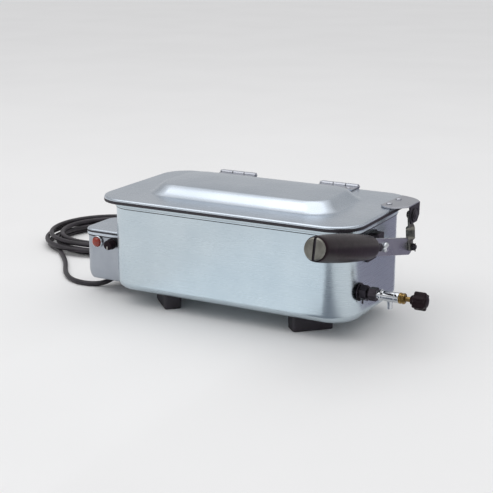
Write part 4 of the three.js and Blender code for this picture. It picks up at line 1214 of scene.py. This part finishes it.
link_bolt = bmesh.new()
bolt_at = Matrix.Translation(FOOT_AT) @ ALONG_X
turned(link_bolt, [(0, 169.3), (2.8, 169.3), (2.8, 185.2), (2.3, 186), (0, 186)], bolt_at, 28)
nut(link_bolt, bolt_at, BAR_IN - 4.3, BAR_IN - 0.3, 8)
nut(link_bolt, bolt_at @ Matrix.Rotation(0.3, 4, "Z"), 180.9, 184.2, 8.2)
turned(
    link_bolt, [(0.6, -5.2), (0.6, 4.4), (0, 4.6)], Matrix.Translation(FOOT_AT + Vector((184.9, 0, 0))),
    10,
)
fit("link_bolt_nuts", link_bolt, "lever", blackened_steel, ["link_bolt"])
link_pin = bmesh.new()
turned(
    link_pin,
    [
        (0, 176.3), (3.7, 176.3), (4.2, 176.8), (4.2, 177.6), (2.6, 177.7), (2.6, 184.7), (7.6, 184.7),
        (7.8, 184.9), (7.8, 185.3), (7.4, 185.6), (4.6, 185.6), (4.6, 186), (4, 186.7), (2.4, 187),
        (0, 187),
    ],
    Matrix.Translation(HEAD_AT) @ ALONG_X, 32,
)
fit("link_pin_headed", link_pin, "link", blackened_steel, ["link_pin"])

# Drain cock: a chromed brass needle cock screwed through both walls against a lock nut. It has a
# hexagon for the spanner, a slim neck, a round body and a short spout that points down.
COCK_AT = Vector((0, -52.6, 35.8))
COCK = Matrix.Translation(COCK_AT) @ ALONG_X
cock = bmesh.new()
cock_root = bmesh.new()
turned(cock_root, [(0, 143), (5.1, 143), (5.1, 161.6), (0, 161.6)], COCK, 36)
turned(
    cock_root, [(0, 160.4), (10.2, 160.4), (10.4, 160.7), (10.4, 161.2), (10.1, 161.6), (0, 161.6)],
    COCK, 48,
)
nut(cock_root, COCK, 161.8, 170.6, 15.6)
turned(cock_root, [(0, 170.4), (5.2, 170.4), (5.2, 173.2), (0, 173.2)], COCK, 40)
nut(cock_root, COCK @ Matrix.Rotation(0.5, 4, "Z"), 173.0, 181.6, 14)
turned(
    cock_root, [(0, -13.2), (0.8, -13.2), (1, -12.9), (1, -6.6), (0, -6.6)],
    Matrix.Translation(COCK_AT + Vector((164, 0, 0))), 16,
)
fit("drain_cock_root", cock_root, "bath", blackened_steel)
neck = [
    (0, 181.4), (4.6, 181.4), (4.4, 182.4), (4.4, 183.6), (5.5, 184.2), (6.5, 184.6), (6.5, 186.2),
    (5.8, 186.8),
]
neck += [
    (5.6, 188.6), (5.4, 189), (5.6, 189.4), (5.8, 192), (5.8, 201.8), (5.6, 202.2), (5.3, 202.4),
    (5.6, 202.6), (5.8, 203),
]
turned(cock, [*neck, (5.8, 206.6), (5.2, 207.4), (0, 207.4)], COCK, 48)
spout = [
    (0, -13.4), (1.6, -13.4), (1.6, -14), (2.5, -14), (2.7, -13.6), (2.7, -8), (3.1, -7.4), (3.1, 0),
    (0, 0),
]
turned(cock, spout, Matrix.Translation(COCK_AT + Vector((196.5, 0, 0))), 28)
fit("drain_cock_turned", cock, "bath", chrome_plate, ["drain_cock_body"])
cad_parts["drain_lock_nut"].material_slots[0].material = turned_brass
packing = bmesh.new()
rings = [
    (3.1, 207.7), (6, 207.7), (6.1, 208), (6.1, 210), (5.7, 210.5), (5, 210.8), (5, 211.4), (5.8, 211.8),
    (6.1, 212.2),
]
turned(packing, [*rings, (6.1, 213.6), (5.4, 214.4), (4, 214.8), (3.1, 214.8), (3.1, 207.7)], COCK, 48)
fit("packing_nut", packing, "bath", turned_brass, ["drain_gland_nut"])

# Drain handle: a turned brass spindle, screwed in through the packing nut, with a black phenolic knob
# of six lobes on a tapered hub.
spindle = bmesh.new()
turned(
    spindle,
    [(0, 193), (2.8, 193), (2.8, 216), (2.5, 216.3), (2.5, 217), (2.8, 217.3), (2.8, 220.6), (0, 220.6)],
    COCK, 32,
)
fit("drain_spindle_turned", spindle, "drain_handle", turned_brass, ["drain_spindle"])
knob = bmesh.new()
LOBES = 6
lobed = []
for step in range(72):
    turn = step * math.pi / 36
    radius = 9.1 + 1.35 * math.cos(LOBES * turn)
    lobed.append((radius * math.cos(turn), radius * math.sin(turn)))
plate(knob, [lobed], 14, COCK @ Matrix.Translation((0, 0, 224.5)), 1.8, 4)
turned(knob, [(0, 220.9), (4.4, 220.9), (5, 221.4), (6.4, 224.8), (6.4, 226), (0, 226)], COCK, 40)
turned(knob, [(0, 237.5), (6.6, 237.5), (6.6, 238.7), (6.1, 239.5), (4.4, 240.1), (0, 240.4)], COCK, 40)
fit("drain_knob_lobed", knob, "drain_handle", phenolic, ["drain_knob"])

# Bench: plain pale card with a matt face, seamless to the horizon. Its mottling is too faint to see,
# and only keeps it from looking flat.
pale_card, at_mm = new_finish("pale_card")
mottle = add(pale_card, "ShaderNodeTexNoise", {"Vector": at_mm, "Scale": 1 / 300, "Detail": 2})
coat = add(pale_card, "ShaderNodeBsdfPrincipled", {
    "Base Color": add(pale_card, "ShaderNodeMix", {
        0: add(
            pale_card, "ShaderNodeMapRange",
            {"Value": mottle, "From Min": NOISE_LOW, "From Max": NOISE_HIGH},
        ),
        6: colour("ebebeb"),
        7: colour("ededed"),
    }, data_type="RGBA"),
    "Roughness": 0.95,
    "Specular IOR Level": 0.1,
})
add(pale_card, "ShaderNodeOutputMaterial", {"Surface": coat})
bench_shape = bmesh.new()
bmesh.ops.create_circle(bench_shape, cap_ends=True, segments=96, radius=14)
bench_mesh = bpy.data.meshes.new("bench")
bench_shape.to_mesh(bench_mesh)
bench_shape.free()
bench_mesh.materials.append(pale_card)
bench = bpy.data.objects.new("bench", bench_mesh)
scene.collection.objects.link(bench)

# Studio: an even pale surround, brighter overhead, with two grey cards and a white one on the bench
# beside and in front of the bath. Only its bright metal sees them, and they give its sides their depth.
flags = (
    ("flag_end", "8f8a99", (620, 900), (480, 500)),
    ("flag_corner", "7a7f88", (120, 460), (150, -330)),
    ("flag_front", "f6fbff", (230, 420), (-30, -320)),
)
for name, shade, size, place in flags:
    flag_finish, at_mm = new_finish(name + "_card")
    glow = add(flag_finish, "ShaderNodeEmission", {"Color": colour(shade)})
    add(flag_finish, "ShaderNodeOutputMaterial", {"Surface": glow})
    flag_shape = bmesh.new()
    sized = Matrix.Diagonal((size[0] / 2, size[1] / 2, 1, 1))
    corners = bmesh.ops.create_grid(flag_shape, x_segments=1, y_segments=1, size=1)["verts"]
    bmesh.ops.transform(flag_shape, matrix=Matrix.Translation((*place, FLOOR + 0.5)) @ sized, verts=corners)
    bmesh.ops.transform(flag_shape, matrix=Matrix.Translation(home) @ Matrix.Scale(MM, 4), verts=corners)
    flag_mesh = bpy.data.meshes.new(name)
    flag_shape.to_mesh(flag_mesh)
    flag_shape.free()
    flag_mesh.materials.append(flag_finish)
    flag = bpy.data.objects.new(name, flag_mesh)
    scene.collection.objects.link(flag)
    flag.visible_camera = False
    flag.visible_diffuse = False
    flag.visible_shadow = False
    flag.visible_transmission = False
world = bpy.data.worlds.new("studio")
scene.world = world
world.use_nodes = True
sky = world.node_tree
direction = sky.nodes.new("ShaderNodeTexCoord")
upward = sky.nodes.new("ShaderNodeSeparateXYZ")
ramp = sky.nodes.new("ShaderNodeValToRGB")
sky.links.new(direction.outputs["Generated"], upward.inputs[0])
sky.links.new(upward.outputs["Z"], ramp.inputs[0])
sky.links.new(ramp.outputs[0], sky.nodes["Background"].inputs["Color"])
SKY = ((0.0, 0.66), (0.25, 0.58), (0.5, 0.47), (0.8, 1.0))
while len(ramp.color_ramp.elements) < len(SKY):
    ramp.color_ramp.elements.new(0.5)
for element, (height, level) in zip(ramp.color_ramp.elements, SKY):
    element.position = height
    element.color = (level, level, level * 1.01, 1)
sky.nodes["Background"].inputs["Strength"].default_value = 1.0
softboxes = (("key", (-0.9, -1.3, 2.2), 2.0, 12), ("top", (0.1, 0.3, 2.4), 2.0, 8))
for name, place, size, power in softboxes:
    lamp_data = bpy.data.lights.new(name, "AREA")
    lamp_data.size = size
    lamp_data.energy = power
    lamp = bpy.data.objects.new(name, lamp_data)
    lamp.location = place
    lamp.rotation_euler = (-Vector(place)).to_track_quat("-Z", "Y").to_euler()
    scene.collection.objects.link(lamp)
scene.view_settings.view_transform = "Standard"
